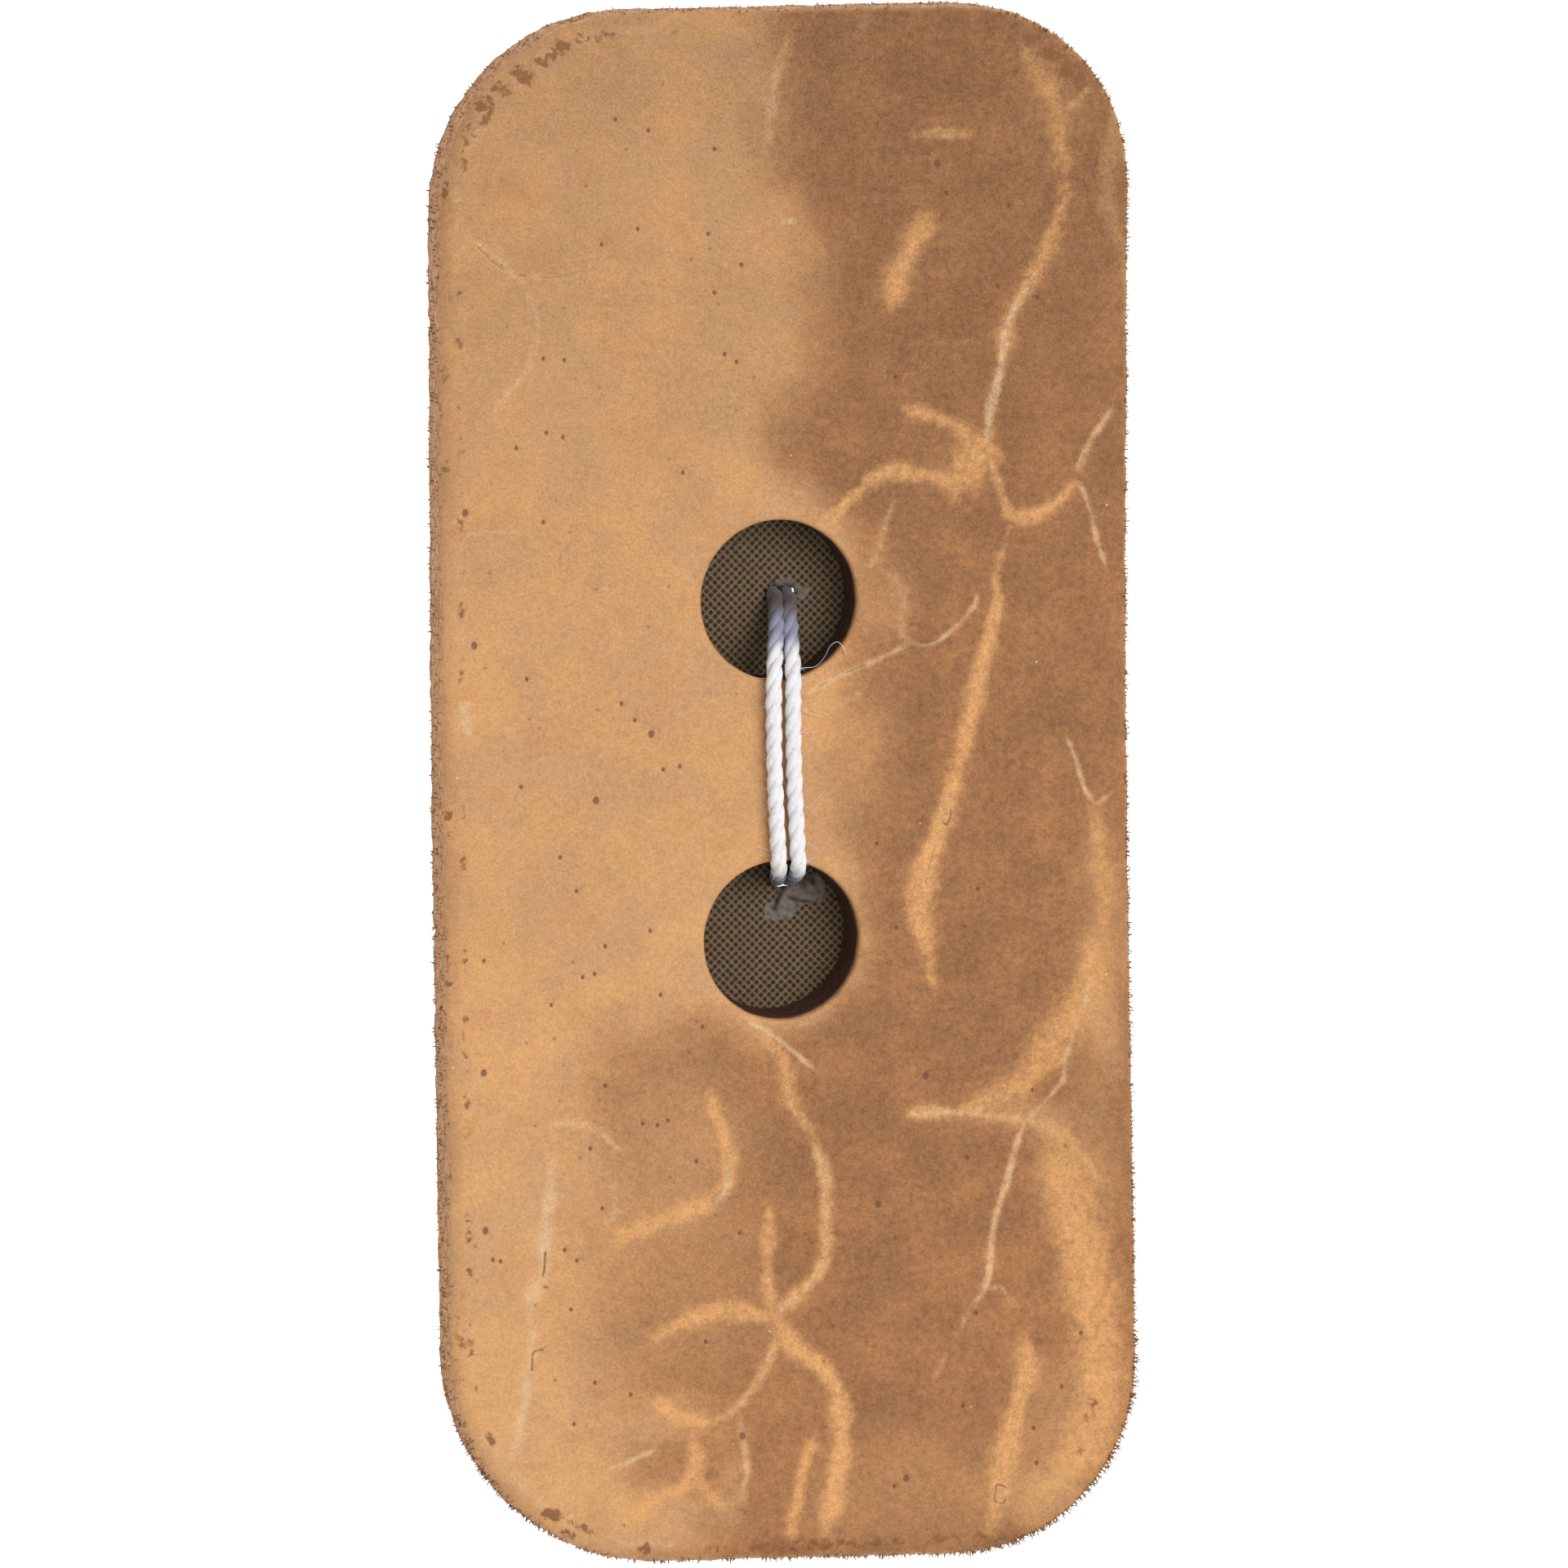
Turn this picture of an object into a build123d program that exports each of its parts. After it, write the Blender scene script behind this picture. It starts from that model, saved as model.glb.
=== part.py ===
from build123d import *
import math
import os

# Pocket leather strop tied to a corrugated backing card. Millimetres.
# Origin: centre of the leather's outline, at the card's back. +Y along the strop, +Z out of its working face.

# Driving dimensions
LEATHER_THICKNESS = 3.6
LEATHER_HALF_WIDTH = 23.07
LEATHER_HALF_LENGTH = 50.8
FACE_EDGE_ROUND = 0.5
BACK_EDGE_ROUND = 0.25

HOLE_DIAMETER = 10.4
HOLE_RIM_ROUND = 0.2
UPPER_HOLE = (-0.8, 12.2)
LOWER_HOLE = (-0.6, -10.0)

CARD_THICKNESS = 3.0
CARD_INSET = 2.2
PAPER_THICKNESS = 0.25
FLUTING_THICKNESS = 0.2
FLUTE_PITCH = 6.5
CLEARANCE = 0.02

TWINE_DIAMETER = 1.06
TWINE_SPACING = 1.1
FACE_SPACING = 1.3
UPPER_RIM_CROSSING = (-0.65, 7.55)
LOWER_RIM_CROSSING = (-0.35, -5.3)
BACK_RUN_Z = 1.1
THREAD_CORNER_Z = 3.2
TAIL_DIAMETER = 0.7
TAIL_LENGTH = 7.0
TAIL_Z = 0.41
KNOT_WIDTH = 3.0
KNOT_HEIGHT = 1.6
KNOT_LENGTH = 4.6
KNOT_END_ROUND = 0.5
KNOT_Y = 3.2
KNOT_BASE_Z = 0.06
KNOT_GRIP = 0.8

UPPER_THREAD_HOLE = (0.2, 12.3)
LOWER_THREAD_HOLE = (0.5, -7.0)
THREAD_HOLE_DIAMETER = 2.6
TROUGH_X = 0.35
TROUGH_DEPTH = 1.9
TROUGH_HALF_WIDTH = 2.3

# Worked out from them
FACE_Z = CARD_THICKNESS + LEATHER_THICKNESS
TWINE_RADIUS = TWINE_DIAMETER / 2
TROUGH_RADIUS = (TROUGH_HALF_WIDTH ** 2 + TROUGH_DEPTH ** 2) / (2 * TROUGH_DEPTH)
TROUGH_AXIS_Z = TROUGH_DEPTH - TROUGH_RADIUS
TROUGH_END_SETBACK = 0.6


def hand_cut_outline():
    """The leather's outline: a long rounded rectangle, cut by hand, so its sides lean and bow a little."""
    w = LEATHER_HALF_WIDTH
    h = LEATHER_HALF_LENGTH
    corners = [
        ((-w - 0.35, h - 0.40), 12.8),
        ((w - 0.25, h - 0.20), 11.4),
        ((w - 0.35, 5.0), 900.0),
        ((w + 0.65, -h), 12.2),
        ((-w + 0.60, -h + 0.40), 14.2),
        ((-w - 0.15, 0.0), 900.0),
    ]
    points = [point for point, _ in corners]
    radii = [radius for _, radius in corners]
    outline = make_face(FilletPolyline(*points, radius=radii, close=True))
    centre = outline.bounding_box().center()
    return Pos(-centre.X, -centre.Y) * outline


def slab(face, bottom, top):
    return Pos(0, 0, bottom) * extrude(face, top - bottom)


def round_bar(x, y, radius, bottom, top):
    return Pos(x, y, (bottom + top) / 2) * Cylinder(radius, top - bottom)


def edges_at(part, z):
    return part.edges().filter_by_position(Axis.Z, z - 0.01, z + 0.01)


def strop_leather(outline):
    """The slab, with its outer edges broken and two holes punched through."""
    leather = slab(outline, CARD_THICKNESS, FACE_Z)
    leather = fillet(edges_at(leather, FACE_Z), FACE_EDGE_ROUND)
    leather = fillet(edges_at(leather, CARD_THICKNESS), BACK_EDGE_ROUND)
    for x, y in (UPPER_HOLE, LOWER_HOLE):
        leather -= round_bar(x, y, HOLE_DIAMETER / 2, 0, FACE_Z + 1)
    rims = edges_at(leather, FACE_Z).filter_by(GeomType.CIRCLE)
    rims = rims.filter_by(lambda edge: abs(edge.radius - HOLE_DIAMETER / 2) < 0.01)
    return fillet(rims, HOLE_RIM_ROUND)


def thread_holes():
    """Where the twine was pushed through the card."""
    radius = THREAD_HOLE_DIAMETER / 2
    upper = round_bar(*UPPER_THREAD_HOLE, radius, -1, CARD_THICKNESS + 1)
    lower = round_bar(*LOWER_THREAD_HOLE, radius, -1, CARD_THICKNESS + 1)
    return upper + lower


def trough(radius):
    """A round-ended bar along the twine's back run, sunk below the card's back."""
    y_top = UPPER_THREAD_HOLE[1] - TROUGH_END_SETBACK
    y_bottom = LOWER_THREAD_HOLE[1] + TROUGH_END_SETBACK
    middle = Pos(TROUGH_X, (y_top + y_bottom) / 2, TROUGH_AXIS_Z)
    bar = middle * Rot(90, 0, 0) * Cylinder(radius, y_top - y_bottom)
    for y in (y_top, y_bottom):
        bar += Pos(TROUGH_X, y, TROUGH_AXIS_Z) * Sphere(radius)
    return bar


def card_face(card_outline):
    return slab(card_outline, CARD_THICKNESS - PAPER_THICKNESS, CARD_THICKNESS) - thread_holes()


def card_back(card_outline):
    """The back paper, pressed in to a trough under the twine."""
    pressed = trough(TROUGH_RADIUS + PAPER_THICKNESS)
    pressed &= slab(card_outline, 0, CARD_THICKNESS)
    paper = slab(card_outline, 0, PAPER_THICKNESS) + pressed
    return paper - trough(TROUGH_RADIUS) - thread_holes()


def card_fluting(card_outline):
    """The wavy paper between the two flat ones. Its waves run across the card."""
    low = PAPER_THICKNESS + CLEARANCE
    high = CARD_THICKNESS - PAPER_THICKNESS - CLEARANCE
    swing = (high - low - FLUTING_THICKNESS) / 2
    count = 2 * math.ceil(2 * LEATHER_HALF_LENGTH / FLUTE_PITCH)
    half_wave = FLUTE_PITCH / 2
    start = -count * half_wave / 2
    waves = Curve()
    for i in range(count):
        y = start + i * half_wave
        rise = swing if i % 2 else -swing
        waves += ThreePointArc((y, 0), (y + half_wave / 2, rise), (y + half_wave, 0))
    section = trace(waves, line_width=FLUTING_THICKNESS)
    across = Plane(origin=(-LEATHER_HALF_WIDTH, 0, (low + high) / 2), x_dir=(0, 1, 0), z_dir=(1, 0, 0))
    sheet = extrude(across * section, 2 * LEATHER_HALF_WIDTH)
    sheet &= slab(card_outline, 0, CARD_THICKNESS)
    sheet -= trough(TROUGH_RADIUS + PAPER_THICKNESS + CLEARANCE)
    return sheet - thread_holes()


def twine_route(side):
    """One strand, from one side of the knot, round through both holes and back to its other side."""
    beside = side * TWINE_SPACING / 2
    beside_on_face = side * FACE_SPACING / 2
    over_z = FACE_Z + TWINE_RADIUS + CLEARANCE
    reach = KNOT_LENGTH / 2 - KNOT_GRIP
    upper_x, upper_y = UPPER_THREAD_HOLE
    lower_x, lower_y = LOWER_THREAD_HOLE
    upper_rim_x, upper_rim_y = UPPER_RIM_CROSSING
    lower_rim_x, lower_rim_y = LOWER_RIM_CROSSING
    return [
        (TROUGH_X + beside, KNOT_Y + reach, BACK_RUN_Z),
        (upper_x + beside, upper_y, BACK_RUN_Z),
        (upper_x + beside, upper_y, THREAD_CORNER_Z),
        (upper_rim_x + beside_on_face, upper_rim_y, over_z),
        (lower_rim_x + beside_on_face, lower_rim_y, over_z),
        (lower_x + beside, lower_y, THREAD_CORNER_Z),
        (lower_x + beside, lower_y, BACK_RUN_Z),
        (TROUGH_X + beside, KNOT_Y - reach, BACK_RUN_Z),
    ]


def tube(points, radii, diameter):
    path = FilletPolyline(*points, radius=radii)
    section = Plane(origin=path @ 0, z_dir=path % 0) * Circle(diameter / 2)
    return sweep(section, path)


def knot_body():
    """The pulled-tight knot, as a flattened bar with rounded ends."""
    bar = extrude(Plane.XZ * SlotOverall(KNOT_WIDTH, KNOT_HEIGHT), KNOT_LENGTH / 2, both=True)
    ends = bar.edges().filter_by(Axis.Y, reverse=True)
    bar = fillet(ends, KNOT_END_ROUND)
    return Pos(TROUGH_X, KNOT_Y, KNOT_HEIGHT / 2 + KNOT_BASE_Z) * bar


def twine_strand(side):
    corner_radii = [0.8, 0.8, 2.5, 0.75, 0.8, 0.8]
    return tube(twine_route(side), corner_radii, TWINE_DIAMETER) - knot_body()


def twine_knot(strands):
    """The knot's body, with a cut tail lying in the groove between the strands on each side of it."""
    knot = knot_body()
    for direction in (1, -1):
        start = KNOT_Y + direction * KNOT_HEIGHT
        end = start + direction * TAIL_LENGTH
        middle = (start + end) / 2
        knot += Pos(TROUGH_X, middle, TAIL_Z) * Rot(90, 0, 0) * Cylinder(TAIL_DIAMETER / 2, TAIL_LENGTH)
    for strand in strands:
        knot -= strand
    return knot


def main():
    os.makedirs("parts", exist_ok=True)
    outline = hand_cut_outline()
    card_outline = offset(outline, -CARD_INSET)
    left = twine_strand(-1)
    right = twine_strand(1)
    parts = {
        "strop_leather": strop_leather(outline),
        "card_face": card_face(card_outline),
        "card_fluting": card_fluting(card_outline),
        "card_back": card_back(card_outline),
        "twine_left": left,
        "twine_right": right,
        "twine_knot": twine_knot((left, right)),
    }
    for name, part in parts.items():
        export_step(part, f"parts/{name}.step")
        print(name, round(part.volume, 2), part.bounding_box())


main()
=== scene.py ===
import math

import bmesh
import bpy
import numpy as np
from mathutils import Matrix, Vector
from mathutils.geometry import delaunay_2d_cdt
from mathutils.kdtree import KDTree


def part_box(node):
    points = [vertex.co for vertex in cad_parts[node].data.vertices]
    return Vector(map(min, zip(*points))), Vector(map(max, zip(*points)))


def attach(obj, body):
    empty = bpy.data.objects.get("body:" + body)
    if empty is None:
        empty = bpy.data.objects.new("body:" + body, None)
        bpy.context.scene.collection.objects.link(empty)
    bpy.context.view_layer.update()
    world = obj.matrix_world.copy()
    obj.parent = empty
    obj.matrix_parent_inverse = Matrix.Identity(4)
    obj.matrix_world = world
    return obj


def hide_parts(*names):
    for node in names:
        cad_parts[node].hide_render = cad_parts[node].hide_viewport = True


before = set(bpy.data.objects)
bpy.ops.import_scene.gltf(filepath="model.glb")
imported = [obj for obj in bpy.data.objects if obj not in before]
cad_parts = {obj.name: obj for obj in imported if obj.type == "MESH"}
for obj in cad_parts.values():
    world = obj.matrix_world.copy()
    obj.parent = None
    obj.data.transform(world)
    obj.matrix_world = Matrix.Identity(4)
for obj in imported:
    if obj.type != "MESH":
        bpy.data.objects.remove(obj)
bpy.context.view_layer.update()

# A pocket leather strop tied by cotton twine to a printed card.
# Lengths are in millimetres until a mesh is made. The leather's working face looks along +Z.

MM = 0.001
BODY = "root"

leather_low, leather_high = (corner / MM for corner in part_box("strop_leather"))
card_low, card_high = (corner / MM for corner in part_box("card_face"))
FACE_Z = leather_high.z
LEATHER_BACK_Z = leather_low.z
LEATHER_THICKNESS = FACE_Z - LEATHER_BACK_Z
CARD_Z = card_high.z
PAPER = card_high.z - card_low.z

# Punched holes: centre, and how far down the strop the far end of the hole lies from the near one
HOLE_RADIUS = 5.2
PUNCHED_HOLES = [((-0.8, 12.2), 0.0), ((-0.6, -10.0), 0.24)]

# The middle of the twine's run along the card's back, and of the two small holes that it passes through
BACK_RUN_X = 0.35
UPPER_THREAD_X = 0.2
LOWER_THREAD_X = 0.5

# The marks on the leather were measured from a point a little off its centre, with a slight lean across it
MARKS_ORIGIN = (-0.65, 0.3)
MARKS_LEAN = 0.022

# How finely the meshes are divided
OUTLINE_STEP = 0.26
FACE_STEP = 0.37
BACK_STEP = 0.95
HOLE_SIDES = 150
CARD_STEP = 1.6
CARD_OUTLINE_STEP = 1.2
CARD_DETAIL_STEP = 0.16


# ---------------------------------------------------------------- small tools

def srgb(red, green, blue):
    """A colour as it looks on a screen, 0 to 255, as the linear values that a shader uses."""
    def linear(value):
        value /= 255
        if value <= 0.04045:
            return value / 12.92
        return ((value + 0.055) / 1.055) ** 2.4
    return (linear(red), linear(green), linear(blue), 1.0)


def lumps(x, y, size, seed):
    """Smooth random values from -1 to 1 over a plane, in lumps of about that size."""
    cells = 128
    rng = np.random.default_rng(seed)
    grid = rng.uniform(-1, 1, (cells, cells))
    turn = rng.uniform(0, math.pi)
    u = (np.asarray(x) * math.cos(turn) + np.asarray(y) * math.sin(turn)) / size
    v = (np.asarray(y) * math.cos(turn) - np.asarray(x) * math.sin(turn)) / size
    i = np.floor(u).astype(int)
    j = np.floor(v).astype(int)
    u = u - i
    v = v - j
    u = u * u * (3 - 2 * u)
    v = v * v * (3 - 2 * v)
    low = grid[i % cells, j % cells] * (1 - u) + grid[(i + 1) % cells, j % cells] * u
    high = grid[i % cells, (j + 1) % cells] * (1 - u) + grid[(i + 1) % cells, (j + 1) % cells] * u
    return low * (1 - v) + high * v


def rise(value, low, high):
    """0 below low, 1 above high, and a smooth change between."""
    t = np.clip((value - low) / (high - low), 0, 1)
    return t * t * (3 - 2 * t)


def smooth_path(points, step=0.12):
    """Closely spaced points on a smooth curve through the given ones."""
    points = np.array(points, float)
    if len(points) == 2:
        count = max(2, int(np.linalg.norm(points[1] - points[0]) / step))
        return np.linspace(points[0], points[1], count + 1)
    ends = [2 * points[0] - points[1], *points, 2 * points[-1] - points[-2]]
    path = []
    for a, b, c, d in zip(ends, ends[1:], ends[2:], ends[3:]):
        count = max(2, int(np.linalg.norm(c - b) / step))
        t = np.linspace(0, 1, count, endpoint=False)[:, None]
        path.append(0.5 * (2 * b + (c - a) * t + (2 * a - 5 * b + 4 * c - d) * t ** 2
                           + (3 * b - a - 3 * c + d) * t ** 3))
    path.append(points[-1:])
    return np.vstack(path)


def unit_rows(vectors):
    return vectors / np.linalg.norm(vectors, axis=1)[:, None]


def turns(count):
    """Evenly spaced angles once round a circle."""
    return np.linspace(0, 2 * math.pi, count, endpoint=False)


def lengths_along(path):
    """How far along a path each of its points is."""
    return np.concatenate([[0], np.cumsum(np.linalg.norm(np.diff(path, axis=0), axis=1))])


def evenly_spaced(path, spacing, closed=False):
    """A path's points again, at even distances along it."""
    if closed:
        path = np.vstack([path, path[:1]])
    lengths = lengths_along(path)
    places = np.linspace(0, lengths[-1], int(lengths[-1] / spacing), endpoint=not closed)
    return np.column_stack([np.interp(places, lengths, column) for column in path.T])


def sides_along(along, side):
    """Unit vectors square to each direction of a path, which follow it without twisting."""
    found = []
    for direction in along:
        side = side - direction * side.dot(direction)
        side /= np.linalg.norm(side)
        found.append(side)
    return np.array(found)


def inside(x, y, loop):
    """Which points lie inside a closed loop, in plan."""
    result = np.zeros(len(x), bool)
    for (ax, ay), (bx, by) in zip(loop, np.roll(loop, -1, axis=0)):
        if ay == by:
            continue
        crosses = (ay > y) != (by > y)
        result ^= crosses & (x < ax + (y - ay) * (bx - ax) / (by - ay))
    return result


def nearest_gaps(x, y, others):
    """How far each point in plan is from the nearest of the others."""
    tree = KDTree(len(others))
    for index, (px, py) in enumerate(others):
        tree.insert((px, py, 0), index)
    tree.balance()
    return np.array([tree.find((px, py, 0))[2] for px, py in zip(x, y)])


def outward_normals(loop):
    """Unit vectors pointing out of a loop that runs anticlockwise."""
    along = unit_rows(np.roll(loop, -1, axis=0) - np.roll(loop, 1, axis=0))
    return np.column_stack([along[:, 1], -along[:, 0]])


def cad_outline(node, height, spacing):
    """The outer loop of a CAD node at one height, anticlockwise and evenly spaced."""
    places = np.array([vertex.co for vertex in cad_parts[node].data.vertices]) / MM
    level = places[np.abs(places[:, 2] - height) < 0.02][:, :2]
    level = np.unique(np.round(level, 3), axis=0)
    level = level[np.hypot(level[:, 0] / 20, level[:, 1] / 45) > 0.9]
    loop = level[np.argsort(np.arctan2(level[:, 1] / 2.2, level[:, 0]))]
    return evenly_spaced(loop, spacing, closed=True)


# ---------------------------------------------------------------- meshes

def make_piece(name, places, faces, material, slot):
    """A mesh piece, from places in millimetres, riding on the object's one body."""
    mesh = bpy.data.meshes.new(name)
    mesh.from_pydata((np.asarray(places) * MM).tolist(), [], faces)
    shell = bmesh.new()
    shell.from_mesh(mesh)
    bmesh.ops.recalc_face_normals(shell, faces=shell.faces)
    shell.to_mesh(mesh)
    shell.free()
    mesh.polygons.foreach_set("use_smooth", [True] * len(mesh.polygons))
    mesh.materials.append(material)
    piece = bpy.data.objects.new(name, mesh)
    bpy.context.scene.collection.objects.link(piece)
    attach(piece, BODY)
    return piece


def paint(piece, name, channels):
    """Writes three values for each vertex, which the material reads as red, green and blue."""
    attribute = piece.data.attributes.new(name, "FLOAT_COLOR", "POINT")
    values = np.ones((len(piece.data.vertices), 4))
    for index, channel in enumerate(channels):
        values[:, index] = channel
    attribute.data.foreach_set("color", values.ravel())


def grid_points(low, high, spacing, seed):
    """A jittered triangular grid over a rectangle."""
    rng = np.random.default_rng(seed)
    rows = np.arange(low[1], high[1], spacing * 0.866)
    columns = np.arange(low[0], high[0], spacing)
    x, y = np.meshgrid(columns, rows)
    x = x + (np.arange(len(rows)) % 2)[:, None] * spacing / 2
    points = np.column_stack([x.ravel(), y.ravel()])
    return points + rng.uniform(-0.16, 0.16, points.shape) * spacing


def keep_clear(points, others, gap):
    """The points that are more than gap away from all the others."""
    return points[nearest_gaps(*points.T, others) > gap]


def inside_loops(points, loops):
    """Which points lie inside the first loop and outside the others."""
    wanted = inside(*points.T, loops[0])
    for hole in loops[1:]:
        wanted &= ~inside(*points.T, hole)
    return wanted


def fill_plan(loops, spacing, seed, details=None):
    """Triangles over the area inside the first loop and outside the others.

    Returns all points in plan, the loops' own first, and the triangles."""
    borders = np.vstack(loops)
    fill = grid_points(borders.min(0), borders.max(0), spacing, seed)
    if details is not None:
        fill = np.vstack([keep_clear(fill, details, 0.45 * spacing), details])
    fill = keep_clear(fill[inside_loops(fill, loops)], borders, 0.3 * spacing)
    points = np.vstack([borders, fill])
    found = delaunay_2d_cdt([Vector(point) for point in points], [], [], 0, 1e-7)
    source = [origins[0] for origins in found[3]]
    triangles = np.array([[source[corner] for corner in face] for face in found[2]])
    return points, triangles[inside_loops(points[triangles].mean(axis=1), loops)]


def join_rings(starts, count):
    """Four-sided faces between rings of count points that begin at these indices."""
    faces = []
    for low, high in zip(starts, starts[1:]):
        for i in range(count):
            j = (i + 1) % count
            faces.append((low + i, low + j, high + j, high + i))
    return faces


class Slab:
    """A closed sheet of some thickness, built from side rings and two triangulated faces."""

    def __init__(self):
        self.places = []
        self.faces = []
        self.total = 0
        self.face_loops = []
        self.back_loops = []

    def add_places(self, places):
        start = self.total
        self.places.append(np.asarray(places, float))
        self.total += len(places)
        return start

    def add_side(self, rings):
        """Rings from the face to the back. The first and last are the borders of the two faces."""
        starts = [self.add_places(ring) for ring in rings]
        self.faces += join_rings(starts, len(rings[0]))
        self.face_loops.append((starts[0], rings[0]))
        self.back_loops.append((starts[-1], rings[-1]))

    def add_face(self, loops, spacing, seed, height, details=None):
        """Closes one face. height gives each inner point its z."""
        points, triangles = fill_plan([ring[:, :2] for _, ring in loops], spacing, seed, details)
        border = sum(len(ring) for _, ring in loops)
        inner = points[border:]
        start = self.add_places(np.column_stack([inner, height(inner[:, 0], inner[:, 1])]))
        index = np.concatenate([np.arange(first, first + len(ring)) for first, ring in loops]
                               + [np.arange(start, start + len(inner))])
        self.faces += index[triangles].tolist()


def tube(path, radius, sides, wobble=0.0, seed=0, taper=False):
    """Places and faces of a closed round tube along a path, in three dimensions."""
    path = np.asarray(path, float)
    along = unit_rows(np.gradient(path, axis=0))
    sides_at = sides_along(along, np.cross(along[0], (0.31, 0.17, 0.94)))
    across = np.cross(along, sides_at)
    angle = turns(sides)
    radii = np.full((len(path), sides), float(radius))
    if wobble:
        s = np.arange(len(path))[:, None] * np.ones(sides)
        radii *= 1 + wobble * lumps(s * 0.5, angle * 2 + s * 0.25, 1.0, seed)
    if taper:
        radii *= np.linspace(1, 0.25, len(path))[:, None]
    rings = (path[:, None] + (radii * np.cos(angle))[..., None] * sides_at[:, None]
             + (radii * np.sin(angle))[..., None] * across[:, None])
    faces = join_rings(range(0, len(path) * sides, sides), sides)
    faces.append(tuple(range(sides)))
    last = (len(path) - 1) * sides
    faces.append(tuple(last + i for i in range(sides)))
    return rings.reshape(-1, 3), faces


def joined(parts):
    """Several (places, faces) pairs as one."""
    places = []
    faces = []
    total = 0
    for part_places, part_faces in parts:
        places.append(part_places)
        faces += [tuple(total + corner for corner in face) for face in part_faces]
        total += len(part_places)
    return np.vstack(places), faces


# ---------------------------------------------------------------- materials

SCREEN_PITCH = 0.394
FLUTE_PITCH = 6.5


class Wiring:
    """Builds a material's nodes, passing sockets from one to the next."""

    def __init__(self, name):
        self.material = bpy.data.materials.new(name)
        self.material.use_nodes = True
        self.tree = self.material.node_tree
        self.shader = self.tree.nodes["Principled BSDF"]
        coordinates = self.tree.nodes.new("ShaderNodeTexCoord").outputs["Object"]
        self.point = self.vector("SCALE", coordinates, scale=1 / MM)

    def put(self, socket, value):
        if isinstance(value, bpy.types.NodeSocket):
            self.tree.links.new(value, socket)
        else:
            socket.default_value = value

    def vector(self, operation, first, second=None, scale=None):
        node = self.tree.nodes.new("ShaderNodeVectorMath")
        node.operation = operation
        self.put(node.inputs[0], first)
        if second is not None:
            self.put(node.inputs[1], second)
        if scale is not None:
            node.inputs["Scale"].default_value = scale
        return node.outputs[0]

    def math(self, operation, first, second=0.0, third=0.0):
        node = self.tree.nodes.new("ShaderNodeMath")
        node.operation = operation
        for socket, value in zip(node.inputs, (first, second, third)):
            self.put(socket, value)
        return node.outputs[0]

    def add(self, *terms):
        """A sum of (socket, factor) pairs."""
        total = self.math("MULTIPLY", *terms[0])
        for socket, factor in terms[1:]:
            total = self.math("MULTIPLY_ADD", socket, factor, total)
        return total

    def noise(self, size, detail=3.0, seed=0, stretch=(1, 1, 1), rough=0.55, warp=0.0):
        """Random values around 0, from about -0.5 to 0.5, in lumps of that size."""
        scale = [1 / (size * k) for k in stretch]
        placed = self.vector("MULTIPLY", self.point, scale)
        placed = self.vector("ADD", placed, (seed * 7.3, seed * 3.1, seed * 5.7))
        node = self.tree.nodes.new("ShaderNodeTexNoise")
        self.put(node.inputs["Vector"], placed)
        node.inputs["Scale"].default_value = 1.0
        node.inputs["Detail"].default_value = detail
        node.inputs["Roughness"].default_value = rough
        node.inputs["Distortion"].default_value = warp
        return self.math("SUBTRACT", node.outputs["Fac"], 0.5)

    def cells(self, size, seed):
        """The distance to the nearest of many scattered points, in cell sizes."""
        node = self.tree.nodes.new("ShaderNodeTexVoronoi")
        placed = self.vector("ADD", self.point, (seed * 7.3, seed * 3.1, seed * 5.7))
        self.put(node.inputs["Vector"], placed)
        node.inputs["Scale"].default_value = 1 / size
        return node.outputs["Distance"]

    def step(self, value, low, high):
        """A smooth change from 0 at low to 1 at high."""
        node = self.tree.nodes.new("ShaderNodeMapRange")
        node.interpolation_type = "SMOOTHSTEP"
        self.put(node.inputs["Value"], value)
        node.inputs["From Min"].default_value = low
        node.inputs["From Max"].default_value = high
        return node.outputs["Result"]

    def mix(self, factor, first, second, blend="MIX"):
        node = self.tree.nodes.new("ShaderNodeMix")
        node.data_type = "RGBA"
        node.blend_type = blend
        self.put(node.inputs[0], factor)
        self.put(node.inputs[6], first)
        self.put(node.inputs[7], second)
        return node.outputs[2]

    def cover(self, colour, coat, amount, most=1.0):
        """Lays a coat over a colour, by an amount from 0 to 1, and by no more than most."""
        return self.mix(self.math("MULTIPLY", amount, most), colour, coat)

    def spots(self, size, low, high, seed):
        """1 within low cell sizes of scattered points, and 0 beyond high."""
        return self.math("SUBTRACT", 1.0, self.step(self.cells(size, seed), low, high))

    def painted(self, name):
        """The three values that paint() wrote on the mesh."""
        attribute = self.tree.nodes.new("ShaderNodeAttribute")
        attribute.attribute_name = name
        split = self.tree.nodes.new("ShaderNodeSeparateColor")
        self.put(split.inputs[0], attribute.outputs["Color"])
        return split.outputs[:3]

    def split_point(self):
        split = self.tree.nodes.new("ShaderNodeSeparateXYZ")
        self.put(split.inputs[0], self.point)
        return split.outputs[:3]

    def bump(self, height, depth, normal=None):
        """Fine relief: height times depth millimetres."""
        node = self.tree.nodes.new("ShaderNodeBump")
        node.inputs["Distance"].default_value = depth * MM
        self.put(node.inputs["Height"], height)
        if normal is not None:
            self.put(node.inputs["Normal"], normal)
        return node.outputs[0]

    def finish(self, colour, roughness, normal, **numbers):
        self.put(self.shader.inputs["Base Color"], colour)
        self.put(self.shader.inputs["Roughness"], roughness)
        self.put(self.shader.inputs["Normal"], normal)
        for name, value in numbers.items():
            self.shader.inputs[name.replace("_", " ")].default_value = value
        return self.material


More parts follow.
